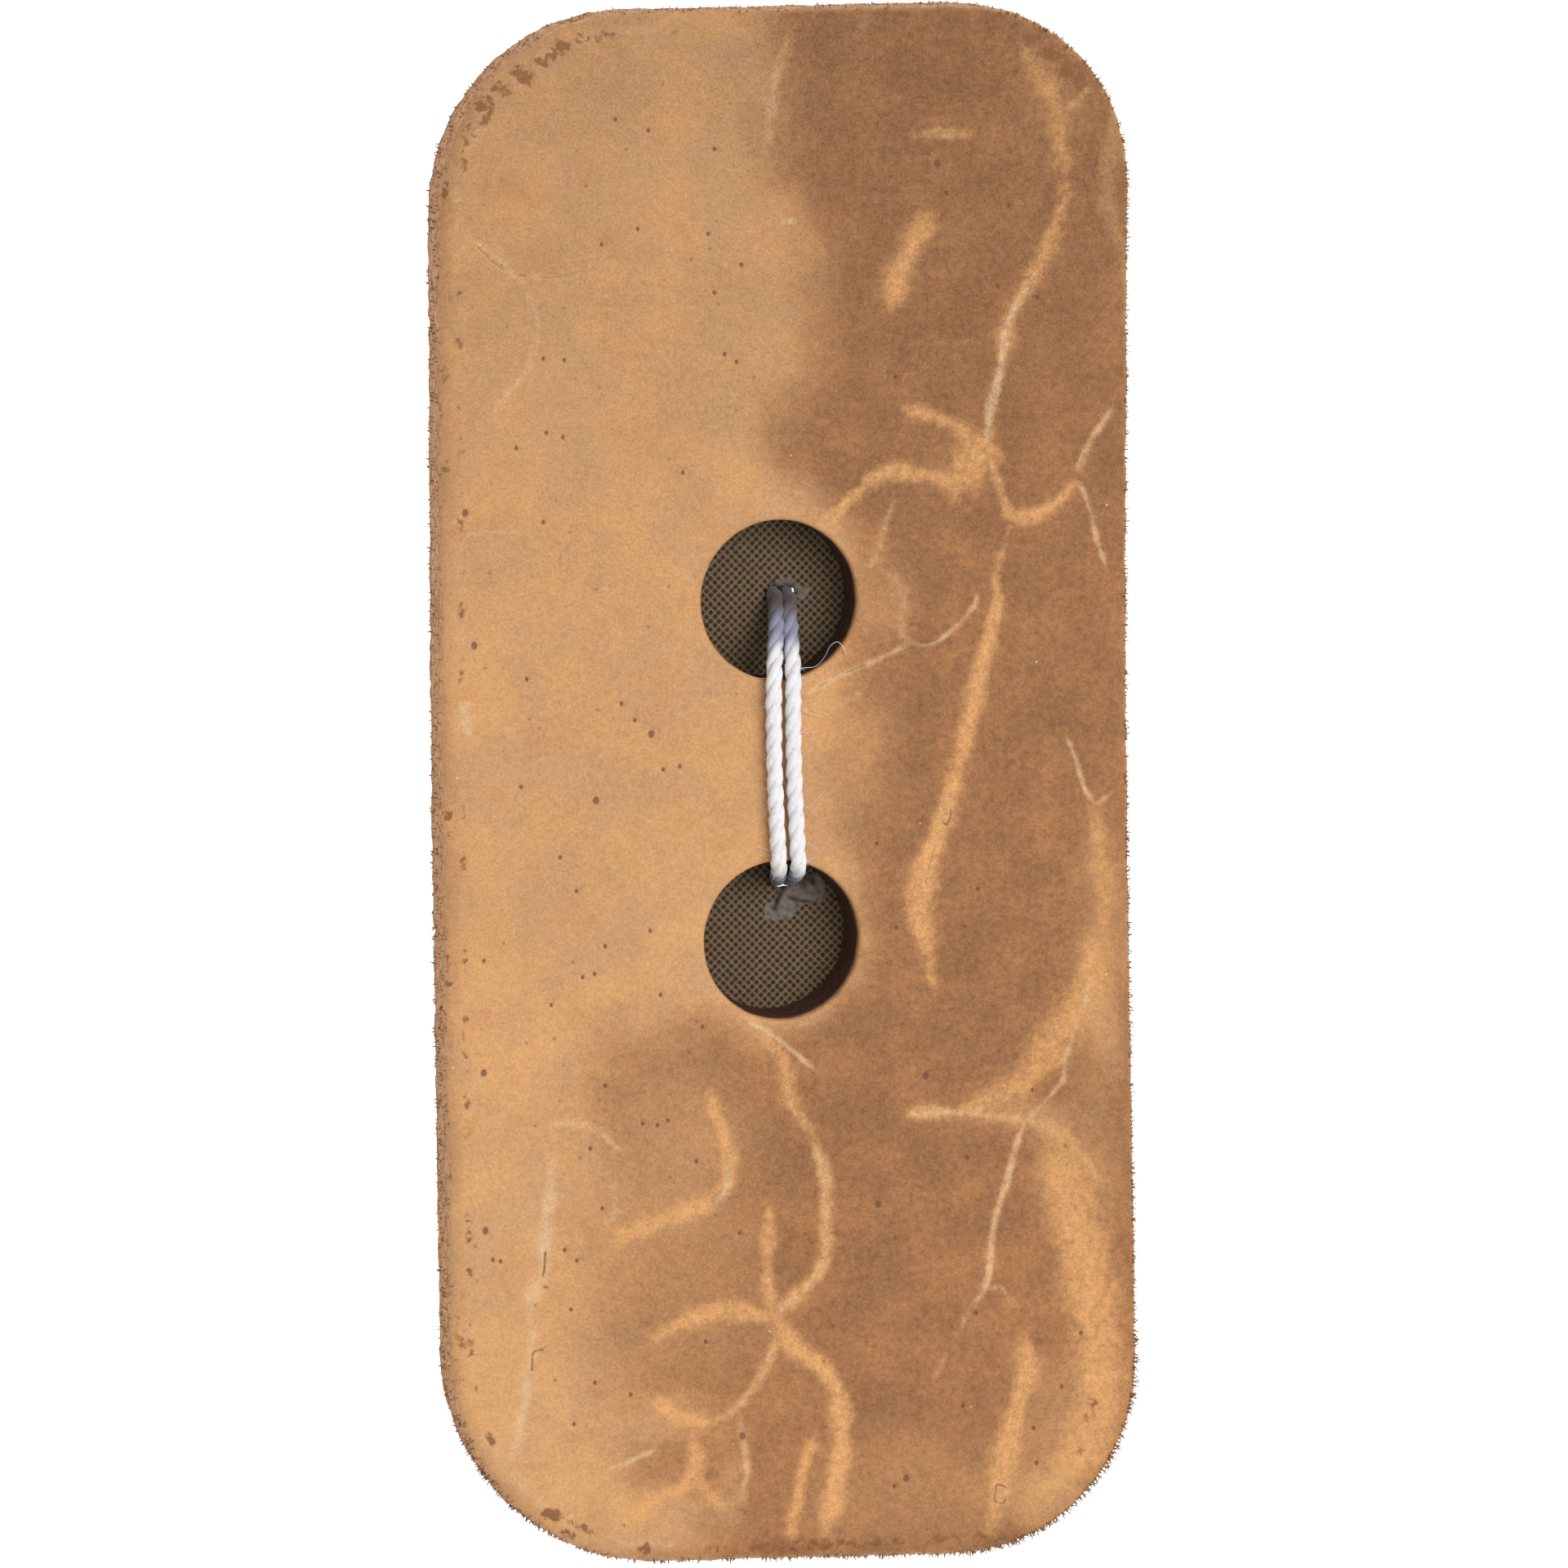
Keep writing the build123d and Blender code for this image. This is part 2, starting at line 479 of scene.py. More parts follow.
def leather_material():
    """Oak-tanned leather: a tan and a brown half, creases, cracks, pores, cut walls and a flesh side."""
    w = Wiring("strop_leather_finish")
    brown, tan_crease, pale_crease = w.painted("tone")
    crack, speck, stain = w.painted("marks")
    # the first zone value is burnish on the face, and on the walls of the punched holes it calls for painted
    # shade
    burnish, wall, flesh = w.painted("zone")
    _, y, z = w.split_point()
    grain = w.noise(0.5, 3, seed=1)
    fine = w.noise(0.16, 2, seed=2)
    cloud = w.noise(3.2, 4, seed=3, rough=0.6)
    drift = w.noise(13, 3, seed=4)
    patch = w.noise(1.4, 3, seed=5)
    fleck = w.noise(0.6, 4, seed=18, rough=0.7, warp=0.5)
    fibre = w.noise(0.25, 4, seed=7, stretch=(2.2, 2.2, 0.7))
    nap = w.noise(0.5, 5, seed=8, rough=0.7)

    # tan half, brown half, creases and worn rim
    orange = w.step(w.noise(5.5, 4, seed=10, rough=0.6, warp=0.8), -0.08, 0.12)
    rosy = w.step(w.noise(3.4, 4, seed=16, rough=0.6, warp=0.8), 0.0, 0.2)
    tan = w.mix(orange, srgb(198, 151, 105), srgb(207, 155, 103))
    tan = w.cover(tan, srgb(197, 142, 92), rosy, 0.55)
    umber = w.mix(w.step(cloud, -0.2, 0.2), srgb(143, 96, 59), srgb(161, 111, 70))
    edge = w.add((brown, 1.0), (cloud, 0.4), (patch, 0.2), (grain, 0.1))
    colour = w.mix(w.step(edge, -0.15, 1.15), tan, umber)
    crease = w.add((tan_crease, 1.0), (patch, 0.2), (grain, 0.15))
    colour = w.cover(colour, srgb(211, 155, 98), w.step(crease, 0.05, 1.0), 0.92)
    pale = w.add((pale_crease, 1.0), (patch, 0.2), (grain, 0.2))
    colour = w.cover(colour, srgb(212, 176, 134), w.step(pale, 0.05, 0.95), 0.85)
    worn = w.add((burnish, 1.0), (patch, 0.5), (grain, 0.3))
    colour = w.cover(colour, srgb(184, 136, 96), w.step(worn, 0.25, 1.1))

    # mottling, and a slow darkening toward the top
    shaded = w.step(y, 4.0, 50.0)
    rougher = w.math("MULTIPLY", brown, w.add((grain, 0.5), (fine, 0.3)))
    mottle = w.add((grain, 0.33), (rougher, 1.0), (fine, 0.65), (cloud, 0.28), (drift, 0.3), (y, -0.001),
                   (shaded, -0.13), (w.step(y, 34.0, 48.0), -0.04))
    colour = w.mix(1.0, colour, w.math("ADD", mottle, 0.97), "MULTIPLY")

    # pores, glints, stains, dark specks and open cracks
    pores = w.spots(1.9, 0.035, 0.085, seed=6)
    colour = w.cover(colour, srgb(120, 78, 50), pores, 0.45)
    colour = w.cover(colour, srgb(245, 225, 200), w.spots(3.3, 0.012, 0.028, seed=9), 0.6)
    spotted = w.math("MULTIPLY", stain, w.math("MULTIPLY_ADD", fleck, 6.0, 0.9))
    colour = w.cover(colour, srgb(126, 82, 48), w.step(spotted, 0.2, 0.75), 0.85)
    colour = w.cover(colour, srgb(110, 70, 50), w.step(speck, 0.1, 0.9), 0.8)
    colour = w.cover(colour, srgb(104, 68, 42), w.step(crack, 0.15, 0.9), 0.75)

    # cut walls, with painted shade darkening them in the holes and along the back edge, and the flesh side
    cut = w.mix(w.step(fibre, -0.2, 0.25), srgb(140, 98, 66), srgb(198, 152, 110))
    # painted shade: the lower part of each cut wall, near the back, is darkened
    back_edge_shade = w.step(z, LEATHER_BACK_Z + 0.9, LEATHER_BACK_Z + 0.3)
    cut = w.cover(cut, srgb(88, 56, 36), back_edge_shade, 0.8)
    # a dark wall colour: painted shade for the cut walls inside the punched holes
    shaded_wall = w.mix(w.step(fibre, -0.2, 0.25), srgb(58, 38, 28), srgb(92, 62, 46))
    colour = w.mix(wall, colour, w.mix(w.step(burnish, 0.3, 0.7), cut, shaded_wall))
    suede = w.mix(w.step(nap, -0.25, 0.25), srgb(132, 96, 68), srgb(192, 152, 114))
    colour = w.mix(flesh, colour, suede)

    rough = w.add((grain, 0.2), (cloud, 0.15), (tan_crease, -0.05))
    rough = w.math("ADD", rough, 0.58)
    rough = w.math("MAXIMUM", rough, w.math("MULTIPLY", wall, 0.85))
    relief = w.add((grain, 1.0), (fine, 0.55), (pores, -0.5))
    normal = w.bump(relief, 0.05)
    loose = w.math("ADD", wall, flesh)
    normal = w.bump(w.math("MULTIPLY", fibre, loose), 0.14, normal)
    return w.finish(colour, rough, normal, Specular_IOR_Level=0.22)


def printed_paper_material():
    """Dark print: round dots on a square screen turned 45 degrees, worn to grey where the card is torn."""
    w = Wiring("printed_paper_finish")
    torn, shade, _ = w.painted("print")
    x, y, _ = w.split_point()
    rate = 2 * math.pi / (SCREEN_PITCH * math.sqrt(2))
    wander = w.noise(1.2, 2, seed=11)
    u = w.add((x, rate), (y, rate), (wander, 0.5))
    v = w.add((x, rate), (y, -rate), (wander, 0.5))
    across = w.math("COSINE", u)
    down = w.math("COSINE", v)
    screen = w.math("ADD", across, down)
    ink_edge = w.noise(0.1, 2, seed=12)
    uneven = w.noise(0.3, 2, seed=17)
    dots = w.step(w.add((screen, 1.0), (ink_edge, 2.0), (uneven, 4.2)), -0.7, 1.4)
    paper = w.mix(w.step(w.noise(1.1, 2, seed=13), -0.15, 0.15), srgb(86, 74, 50), srgb(94, 72, 54))
    paper = w.cover(paper, srgb(98, 66, 34), w.step(w.noise(2.6, 2, seed=14), 0.0, 0.3))
    lines = w.add((w.math("MINIMUM", across, down), 1.0), (ink_edge, 0.8))
    lattice = w.math("SUBTRACT", 1.0, w.step(lines, -1.0, -0.35))
    paper = w.cover(paper, srgb(136, 120, 96), lattice, 0.5)
    colour = w.mix(dots, paper, srgb(50, 35, 21))
    fray = w.noise(0.35, 4, seed=15)
    fluff = w.mix(w.step(fray, -0.25, 0.25), srgb(88, 80, 74), srgb(128, 120, 112))
    colour = w.cover(colour, fluff, w.step(w.add((torn, 1.0), (fray, 0.8)), 0.15, 0.9), 0.9)
    colour = w.cover(colour, srgb(20, 14, 10), shade, 0.9)
    normal = w.bump(w.add((dots, 0.3), (fray, 1.0)), 0.02)
    return w.finish(colour, 0.65, normal, Specular_IOR_Level=0.15)


def kraft_material(name, light, dark):
    """Unbleached brown paper with short fibres and flecks, and faint stripes of painted shade at the pitch of
    the flutes.
    """
    w = Wiring(name)
    fibres = w.noise(0.5, 5, seed=21, stretch=(4, 1, 1), rough=0.65, warp=0.6)
    cross = w.noise(0.4, 4, seed=22, stretch=(1, 3, 1), warp=0.6)
    cloud = w.noise(6, 3, seed=23)
    blend = w.add((fibres, 1.0), (cross, 0.7), (cloud, 0.6))
    colour = w.mix(w.step(blend, -0.45, 0.45), dark, light)
    colour = w.cover(colour, srgb(96, 70, 46), w.spots(1.6, 0.05, 0.12, seed=24), 0.5)
    _, y, _ = w.split_point()
    # faint stripes of painted shade, standing in for the flutes showing through as a washboard
    flute_shade = w.math("SINE", w.math("MULTIPLY", y, 2 * math.pi / FLUTE_PITCH))
    colour = w.cover(colour, dark, w.step(flute_shade, 0.2, 1.0), 0.12)
    normal = w.bump(w.add((fibres, 1.0), (cross, 0.8)), 0.05)
    return w.finish(colour, 0.82, normal, Specular_IOR_Level=0.3)


def twine_material():
    """Bleached cotton with fine fibres along the yarn, greyed where it sinks to the card: bluish grey painted
    shade in the holes, then a darker grey nearest the card that is soil and painted shade together.
    """
    w = Wiring("cotton_twine_finish")
    soil_and_hole_shade, hole_shade, _ = w.painted("soil_and_shade")
    fibre = w.noise(0.09, 3, seed=31, stretch=(1, 3, 1), warp=0.4)
    cloud = w.noise(0.8, 2, seed=32)
    colour = w.mix(w.step(w.add((fibre, 1.0), (cloud, 0.5)), -0.35, 0.35),
                   srgb(222, 219, 222), srgb(247, 246, 248))
    # painted shade in the holes: bluish grey, then a dark brownish grey nearest the card that is soil and
    # painted shade together
    for amount, coat in ((hole_shade, srgb(140, 143, 164)), (soil_and_hole_shade, srgb(78, 67, 61))):
        colour = w.cover(colour, coat, w.step(w.add((amount, 1.0), (cloud, 0.4)), 0.0, 1.0))
    normal = w.bump(fibre, 0.05)
    return w.finish(colour, 0.8, normal, Specular_IOR_Level=0.25, Sheen_Weight=0.35)


def floor_material():
    w = Wiring("floor_finish")
    shade = w.step(w.noise(60, 2, seed=41), -0.3, 0.3)
    colour = w.mix(shade, (0.93, 0.93, 0.93, 1), (0.95, 0.95, 0.95, 1))
    w.put(w.shader.inputs["Emission Color"], (1.0, 1.0, 1.0, 1))
    return w.finish(colour, 0.9, w.bump(shade, 0.01), Specular_IOR_Level=0.1, Emission_Strength=0.8)


# ---------------------------------------------------------------- marks on the leather

# Where the brown half of the face lies: its left border, then round the right side
BROWN_AREA = [
    (-0.8, 53), (-1.2, 44.5), (-0.6, 38.7), (1.2, 35.2), (1.9, 31.2), (1.1, 27.5), (-0.6, 24.4), (-0.5, 20.5),
    (1.2, 18.4), (3, 16.8), (4.8, 14), (5, 10.6), (4.2, 7), (3.6, 4.5), (3, 1), (3, -3.4),
    (4.4, -6.6), (5, -10.2), (4, -14), (0, -16), (-5.6, -14.8), (-12.4, -16.6), (-13.8, -22.6),
    (-12.6, -28.4), (-13.8, -34), (-12.4, -40.6), (-11, -45.6), (-8, -49), (-7, -53), (30, -53), (30, 53),
]

# Paler islands in the brown half: centre, half sizes, strength
PALE_AREAS = [
    ((4.6, 1), (3.6, 7.5), 0.48),
    ((7.2, 11.2), (1.7, 3.4), 0.4),
    ((-10, -30), (10.5, 19), 0.4),
    ((22, -9), (2.2, 9.5), 0.4),
    ((9, -46.5), (9, 4.5), 0.3),
    ((20.5, -25), (3.6, 5), 0.45),
    ((21.5, -16.5), (2.6, 5), 0.6),
    ((16.6, -22.2), (2.8, 1.7), 0.6),
    ((19, -43), (4.5, 5.5), 0.4),
    ((-6.5, -24), (4.5, 5), 0.35),
    ((-8, -41.5), (4.5, 1.6), 0.5),
    ((-10.5, -47.8), (6.5, 1.8), 0.7),
    ((-3.6, -46), (1.7, 4), 0.45),
    ((3.2, 46), (4.5, 6.5), 0.15), ((19, 45.5), (3.5, 4.5), 0.25),
    ((10.5, 20.5), (2.5, 1.8), 0.3),
    ((17.5, -47), (5, 3), 0.5),
    ((22.6, 40), (0.9, 9), 0.5),
]

# Creases: width, strength as tan, as pale, as an open crack, then the points that each runs through
CREASES = [
    # upper half, along the border of the two tones
    (1.1, 0.5, 0.55, 0, [(1, 49.3), (-0.1, 46.9), (-0.7, 44), (-1, 40.8)]),
    (1.4, 0.3, 0.3, 0, [(5.8, 49.9), (4.8, 48.5)]),
    (0.9, 0.6, 0.4, 0, [(8.4, 42), (10.6, 42.3), (12.8, 42.2)]),
    (0.6, 0, 0.7, 0, [(-0.1, 36.5), (1, 36.6)]),
    (0.5, 0.2, 0.35, 0, [(-0.3, 34.6), (-0.5, 32), (-0.4, 29.4)]),
    # upper right
    (1.5, 0.9, 0, 0, [(10.1, 37.1), (8.7, 34.9), (7.8, 32.8), (7.3, 30.7)]),
    (2, 0.6, 0.1, 0, [(16, 48.7), (16.8, 47), (18.3, 44.4), (18.7, 41.5), (19.1, 39.4)]),
    (1.3, 0.8, 0.15, 0, [(19.1, 39.4), (18.9, 37.6), (17.9, 35.2), (17.2, 33.4), (16.3, 32), (15.3, 30.2),
                           (14.9, 28.4), (14.6, 26.8)]),
    (1, 0.5, 1, 0, [(17.2, 33.4), (15.3, 30.2), (14.9, 28.4), (14.4, 25.6), (13.9, 23.4), (13.7, 22)]),
    (0.8, 0.5, 0.5, 0, [(20.6, 45.2), (19.9, 44.3), (19.3, 43.9)]),
    (2.9, 0.9, 0.1, 0, [(13.9, 22.6), (13.1, 21.4), (12.6, 20.3), (11.6, 19.6)]),
    (1, 0.9, 0.25, 0, [(12.9, 22.3), (11.7, 23.3), (10.2, 23.8), (8.2, 24.4)]),
    (1.1, 0.9, 0.2, 0.25, [(12.6, 20), (11, 19.8), (9, 20.1), (7.3, 20.3), (5.9, 19.6), (4.6, 18.4),
                           (2.6, 16.6)]),
    (1, 0.7, 0, 0, [(11.9, 19.8), (11.6, 18.3)]),
    (0.9, 0.8, 0.3, 0.1, [(13.8, 21.4), (14.6, 19.4), (15.4, 17.2)]),
    (1.1, 0.9, 0.15, 0, [(15.2, 17.4), (16.8, 17.4), (18.4, 18.2), (19.8, 19.7)]),
    (0.7, 0.4, 0.8, 0.45, [(19.8, 20.1), (20.7, 22.2), (22.2, 24.3)]),
    (0.6, 0.4, 0.8, 0.45, [(19.8, 20.1), (20.7, 17.9), (21.2, 15.8), (22, 13.7)]),
    # from the upper node down the right side
    (0.6, 0.6, 0.1, 0, [(15.5, 17.1), (14.4, 13.7)]),
    (1.3, 1, 0, 0, [(14.4, 13.7), (14.5, 11.8), (14, 9.4), (13.3, 6.8), (12.8, 4.6), (11.9, 0.9)]),
    (1.9, 1, 0.15, 0, [(11.9, 0.9), (11.1, -1.8), (10.3, -3.9), (9.5, -6.5), (9.3, -8.7), (9.9, -11.3)]),
    (1, 0.7, 0.2, 0, [(9.9, -11.3), (10.3, -13.5)]),
    (0.4, 0, 0.5, 0.9, [(10.8, -1.5), (10.7, -2.2), (11.1, -2.8), (11.4, -2), (11.2, -1.4)]),
    (0.4, 0, 0.35, 0.6, [(10.6, -3.6), (10.1, -5), (9.7, -6.6)]),
    # round the upper hole
    (0.9, 0.4, 0.35, 0, [(7.6, 19), (7, 16.9), (6, 14.3), (5.1, 14.2)]),
    (0.9, 0.4, 0.4, 0, [(6.7, 14.2), (7.8, 12.9), (8.3, 11.5), (8.1, 9.9), (8.7, 9.1)]),
    (0.45, 0.2, 0.9, 0.7, [(1.5, 5.7), (4, 7), (6.7, 8.1), (8.7, 9.1)]),
    (0.5, 0.2, 0.7, 0.2, [(8.7, 9.1), (10, 9), (11.4, 9.9), (12.8, 11.3), (13.3, 12.6)]),
    (0.7, 0.2, 0.5, 0.1, [(1.8, 4.1), (3.6, 4.9), (5.6, 6)]),
    # right edge
    (0.5, 0.3, 0.9, 0.4, [(19.2, 3), (19.9, 1.2), (20.4, -0.4), (21.2, -1.5)]),
    (0.4, 0.1, 0.7, 0.3, [(21.2, -1.5), (22.3, -0.6)]),
    (1.6, 0.65, 0.1, 0, [(21.2, -1.5), (21.2, -3.4), (21.5, -6), (21.8, -8.7), (21.2, -11.3)]),
    (2.6, 0.8, 0, 0, [(21.5, -9.5), (20.8, -13.5), (19, -16.3), (17.6, -18), (16, -19.8), (14.2, -21),
                          (12, -21.6)]),
    (0.45, 0.1, 0.7, 0.4, [(20.9, -12.9), (20.2, -15.1), (19.3, -17.7), (18.8, -19.8), (17.1, -21.4)]),
    # lower right node
    (1.2, 0.8, 0.5, 0.15, [(16.5, -22.2), (13.3, -21.7), (10.6, -21.5), (8.1, -21.9)]),
    (0.6, 0.4, 0.5, 0.35, [(16.5, -22.2), (18.9, -19.6)]),
    (1.1, 0.7, 0.35, 0, [(16.5, -22.2), (18.8, -23), (20.2, -24.4), (21.5, -26.2)]),
    (0.7, 0.5, 0.75, 0.1, [(16.5, -22.2), (16, -23.3), (15.2, -26.2), (14.3, -28.9), (14, -32.1),
                           (13.6, -33.4), (13, -34.2)]),
    (0.5, 0.3, 0.45, 0, [(13, -34.2), (11.7, -36.3), (10, -39.5)]),
    (0.6, 0.4, 0.4, 0, [(13.6, -33.4), (14.7, -33.1), (16, -34.7)]),
    (3.6, 0.8, 0, 0, [(18, -22.8), (19.2, -26.3), (20.2, -30), (21, -33.7), (21.4, -37.3), (21.5, -39.8),
                          (20.8, -42.9), (19, -45.6), (16.9, -47.1)]),
    (1.6, 0.9, 0, 0, [(16.3, -36.3), (16.6, -38.5), (16, -41.1), (15.2, -43.8), (14.7, -46.4),
                          (14.1, -49.1)]),
    (0.4, 0, 0.6, 0.9, [(14.5, -46.2), (14.4, -47.1), (15, -47.3), (15.2, -46.4), (14.7, -46.1)]),
    # below the lower hole
    (0.5, 0.2, 0.8, 0.2, [(-2.8, -15.1), (-0.7, -16.4), (1, -17.7), (2.4, -18.8)]),
    (1.1, 0.7, 0.35, 0, [(-1.8, -15.9), (0.2, -18.2), (0.6, -20.6), (2.1, -23)]),
    (1, 0.9, 0.55, 0.1, [(2.1, -23), (2.9, -25.7), (3, -28.9), (2.9, -31), (1.8, -32.9), (0.2, -34.2),
                           (-0.4, -35)]),
    (1.1, 0.8, 0.1, 0, [(-0.4, -35), (-0.9, -32.1), (-0.8, -27.3)]),
    (1.6, 1, 0.1, 0, [(-0.4, -35), (1, -36.9), (2.9, -38.5), (3.8, -40.1), (4, -42.7), (3.6, -46.4),
                          (2.9, -49.1)]),
    (1.1, 0.8, 0, 0, [(2.4, -42.7), (1.5, -44.8), (1, -47.5), (0.6, -49.6)]),
    (1.5, 0.9, 0.1, 0, [(-0.4, -35), (-3.1, -34.5), (-5.9, -35), (-8.6, -36.3)]),
    (0.8, 0.6, 0.45, 0, [(-0.4, -36), (-0.7, -37.4), (-1.5, -39), (-3.1, -40.9), (-4.8, -41.9)]),
    (1.4, 0.9, 0.1, 0, [(-4.8, -41.9), (-7, -41.4), (-8.6, -40.3)]),
    (0.8, 0.4, 0.5, 0.2, [(-2.8, -41.6), (-2.3, -44.8), (-2.8, -47.5)]),
    (0.5, 0.1, 0.7, 0.25, [(-11.8, -44.8), (-10, -44.2), (-8.4, -43.5)]),
    (1.3, 0.9, 0, 0, [(-5.9, -42.7), (-5.9, -45.4), (-8.6, -47), (-10.8, -48)]),
    (1.1, 0.8, 0, 0, [(-5.9, -45.4), (-3.7, -47.5)]),
    # lower left
    (0.8, 0.3, 0.6, 0, [(-16.6, -22.6), (-14.7, -22.1), (-13, -22.3), (-11.6, -23.2), (-10.5, -24.2)]),
    (0.8, 0.2, 0.45, 0, [(-11.3, -26), (-11.1, -27.9), (-12, -28.9)]),
    (1.2, 1, 0.1, 0, [(-4.8, -20.4), (-3.9, -23), (-3.4, -25.2), (-4.2, -27)]),
    (1.4, 0.9, 0.2, 0, [(-4.2, -27), (-7.5, -28.4), (-10.3, -29.3), (-11.3, -29.9)]),
    (0.35, 0, 0.9, 0.5, [(-3.7, -24.5), (-3.4, -25.4), (-4, -26.9), (-4.7, -27.4)]),
    (0.6, 0.1, 0.45, 0, [(-21.4, -20.8), (-19.6, -19), (-17.9, -17.9)]),
    (2, 0, 0.8, 0, [(-15.3, -24.6), (-15.9, -30.3), (-16, -31.9), (-16.8, -34), (-16.6, -35.6),
                          (-17, -38.7), (-17.2, -40.7), (-17.9, -43.4), (-18.3, -44.4)]),
    (0.5, 0, 0.5, 1, [(-15.8, -30.6), (-15.9, -31.9), (-16.3, -32.6), (-15.8, -32.8)]),
    (0.5, 0, 0.6, 1, [(-16.9, -33.9), (-16.8, -35.2), (-16.5, -35.1), (-16.5, -34)]),
    (0.4, 0, 0.5, 0.9, [(-16, -36.9), (-16.6, -37.1), (-16.7, -38.2)]),
    # upper left
    (0.9, 0, 0.6, 0, [(-21.5, 36.2), (-20.1, 34.9), (-17.4, 32.8), (-16.2, 29.6), (-17.2, 26.6),
                      (-20.1, 23.2)]),
    (0.7, 0, 0.6, 0.6, [(-20.2, 34.8), (-18.6, 33.4), (-16.6, 32.9), (-14.9, 32.9), (-13, 33.4)]),
    (0.5, 0, 0.3, 0, [(-7.8, 48.9), (-9.4, 47.7)]),
    (0.3, 0, 0.3, 0.7, [(-12.5, 12.6), (-11.2, 12.9), (-11.1, 13.4)]),
    (0.3, 0, 0.2, 0.5, [(-14.4, 11.5), (-13.5, 11.9)]),
    (0.3, 0, 0.2, 0.5, [(-16.4, 10.8), (-15.5, 11.2)]),
    (0.25, 0, 0.7, 0, [(-21.2, 16.3), (-19, 16.4), (-16.9, 16.3)]),
    (0.9, 0.1, 0.5, 0, [(-2.8, 18.7), (0.2, 18.7)]),
    (0.3, 0, 0.1, 0.35, [(-3.5, 0.2), (-1.3, 1.3)]),
    (0.3, 0, 0.2, 0.4, [(-8, -7.1), (-5.5, -6.3)]),
    (1.6, 0, 0.9, 0, [(-21.3, 5.4), (-20.9, 3)]),
]

# Open pores and dark spots, with the ones that are nearly twice as large
PORES = [
    (11, 38.4), (15.2, 37.6), (7.6, 26.4), (17.1, 31.6), (14.5, 32.3), (13.2, -7), (6.4, -4), (7.7, -9.5),
    (16.9, -20.2), (12.5, -24.6), (13.1, -34.8), (12.2, -40.9), (7.6, -46.1), (20.2, -36.2), (18.9, -39.7),
    (17, -42.4), (17.2, -44.7), (-11.1, 43.1), (-8.9, 42.4), (-4.5, 41.2), (-12, 35), (-9.6, 36),
    (-4.9, 35.7), (-2.7, 33.7), (-4.5, 31.9), (-3, 27.4), (-3.8, 27.9), (-15.9, 27.6), (-14.5, 27.5),
    (-15.7, 22.8), (-14.6, 22.5), (-17.7, 21.8), (-15.9, 17), (-17, 6.8), (-10.7, 5.2), (-9.8, 4.1),
    (-6.6, 20.2), (-17.4, -0.2), (-13.7, -7), (-14.8, -4.8), (-6.8, 1.1), (-7.9, 0.9), (-11.8, -10.6),
    (-13.3, -12.6), (-12.5, -12.4), (-15.4, -14.4), (-8.8, -9.6), (-8.1, -13.8), (-5.3, -15.9),
    (-19.9, -11.5), (-11.8, -19.7), (-9.3, -22.2), (-8.3, -22.3), (-7.6, -22), (-12.8, -23.8), (-12, -27.7),
    (-19.3, -31), (-18.8, -31.1), (-14.5, -30.4), (-13.7, -31.1), (-14.1, -34.3), (-5.1, -36.5),
    (-12.5, -39.1), (-10.1, -39.9), (-5.7, -24.7), (-2.8, -29.4), (-13.9, -41.8),
]
LARGE_PORES = [
    (10.4, 40.3), (9.7, -19.2), (6.5, -27.6), (8.4, -45.6), (-21.1, 17.6), (-20.5, 9), (-8.7, 3.2),
    (-12.4, -1.1), (-19.9, -18.8), (-19.8, -29.1), (-2.6, -42.7),
]
PORE_SIZES = [(0.17, PORES), (0.29, LARGE_PORES)]

# Stains and dark flecks, mostly near the edges: centre, half sizes, strength
STAINS = [
    ((-22.3, 38.6), (0.35, 0.9), 0.9), ((-22.4, -12), (0.35, 1.6), 0.9), ((-22, -39.7), (0.4, 0.5), 0.9),
    ((-21.8, -37.5), (0.9, 4.5), 0.35), ((16.9, 48.4), (0.8, 0.35), 0.8), ((18.2, 47.6), (0.9, 0.5), 1),
    ((19.2, 46.6), (0.7, 0.7), 0.9), ((19.9, 45.7), (0.4, 0.6), 0.9), ((21.5, 43.4), (0.35, 1.5), 0.5),
    ((22.1, 41), (0.35, 1.8), 0.4), ((12.8, 49.7), (2.6, 0.35), 0.5), ((-19.7, 43.7), (0.6, 0.8), 0.9),
    ((-18.4, 45), (0.8, 0.5), 0.8), ((-17.2, 46), (0.8, 0.6), 0.9), ((-16, 46.9), (0.9, 0.5), 0.9),
    ((-14.6, 47.8), (1, 0.5), 0.9), ((-13.2, 48.3), (0.8, 0.4), 0.8), ((-11.8, 48.6), (0.8, 0.3), 0.6),
    ((-20.9, 42), (0.4, 0.7), 0.8), ((-21.2, 40.4), (0.3, 0.5), 0.6), ((3, -49.9), (7, 0.4), 0.6),
    ((12, -49.3), (2.5, 0.35), 0.5), ((21, -41.3), (0.5, 0.8), 0.7), ((20.2, -43.9), (0.4, 0.5), 0.7),
    ((-15.3, -47.7), (0.8, 0.4), 0.9), ((-14.3, -49.1), (0.5, 0.3), 0.8), ((-9, -50.1), (0.6, 0.3), 0.8),
    ((-18.9, -46.1), (0.5, 0.4), 0.6), ((-22.4, 26.5), (0.3, 1), 0.5), ((-22.3, 20.3), (0.3, 0.9), 0.5),
    ((-22.3, -2), (0.3, 1.1), 0.5), ((-22.2, -25), (0.3, 1.2), 0.45), ((22.3, 12), (0.3, 1.4), 0.35),
]

# Small bites out of the left edge: centre, half length, depth
NICKS = [((-23.3, 29.6), 0.5, 0.3), ((-22.9, -9.8), 0.4, 0.25)]


def level(points):
    """The places of marks, measured from the leather's centre and without the lean."""
    points = np.array(points, float).reshape(-1, 2)
    x, y = points.T
    return np.column_stack([x + MARKS_ORIGIN[0], y - MARKS_LEAN * x + MARKS_ORIGIN[1]])


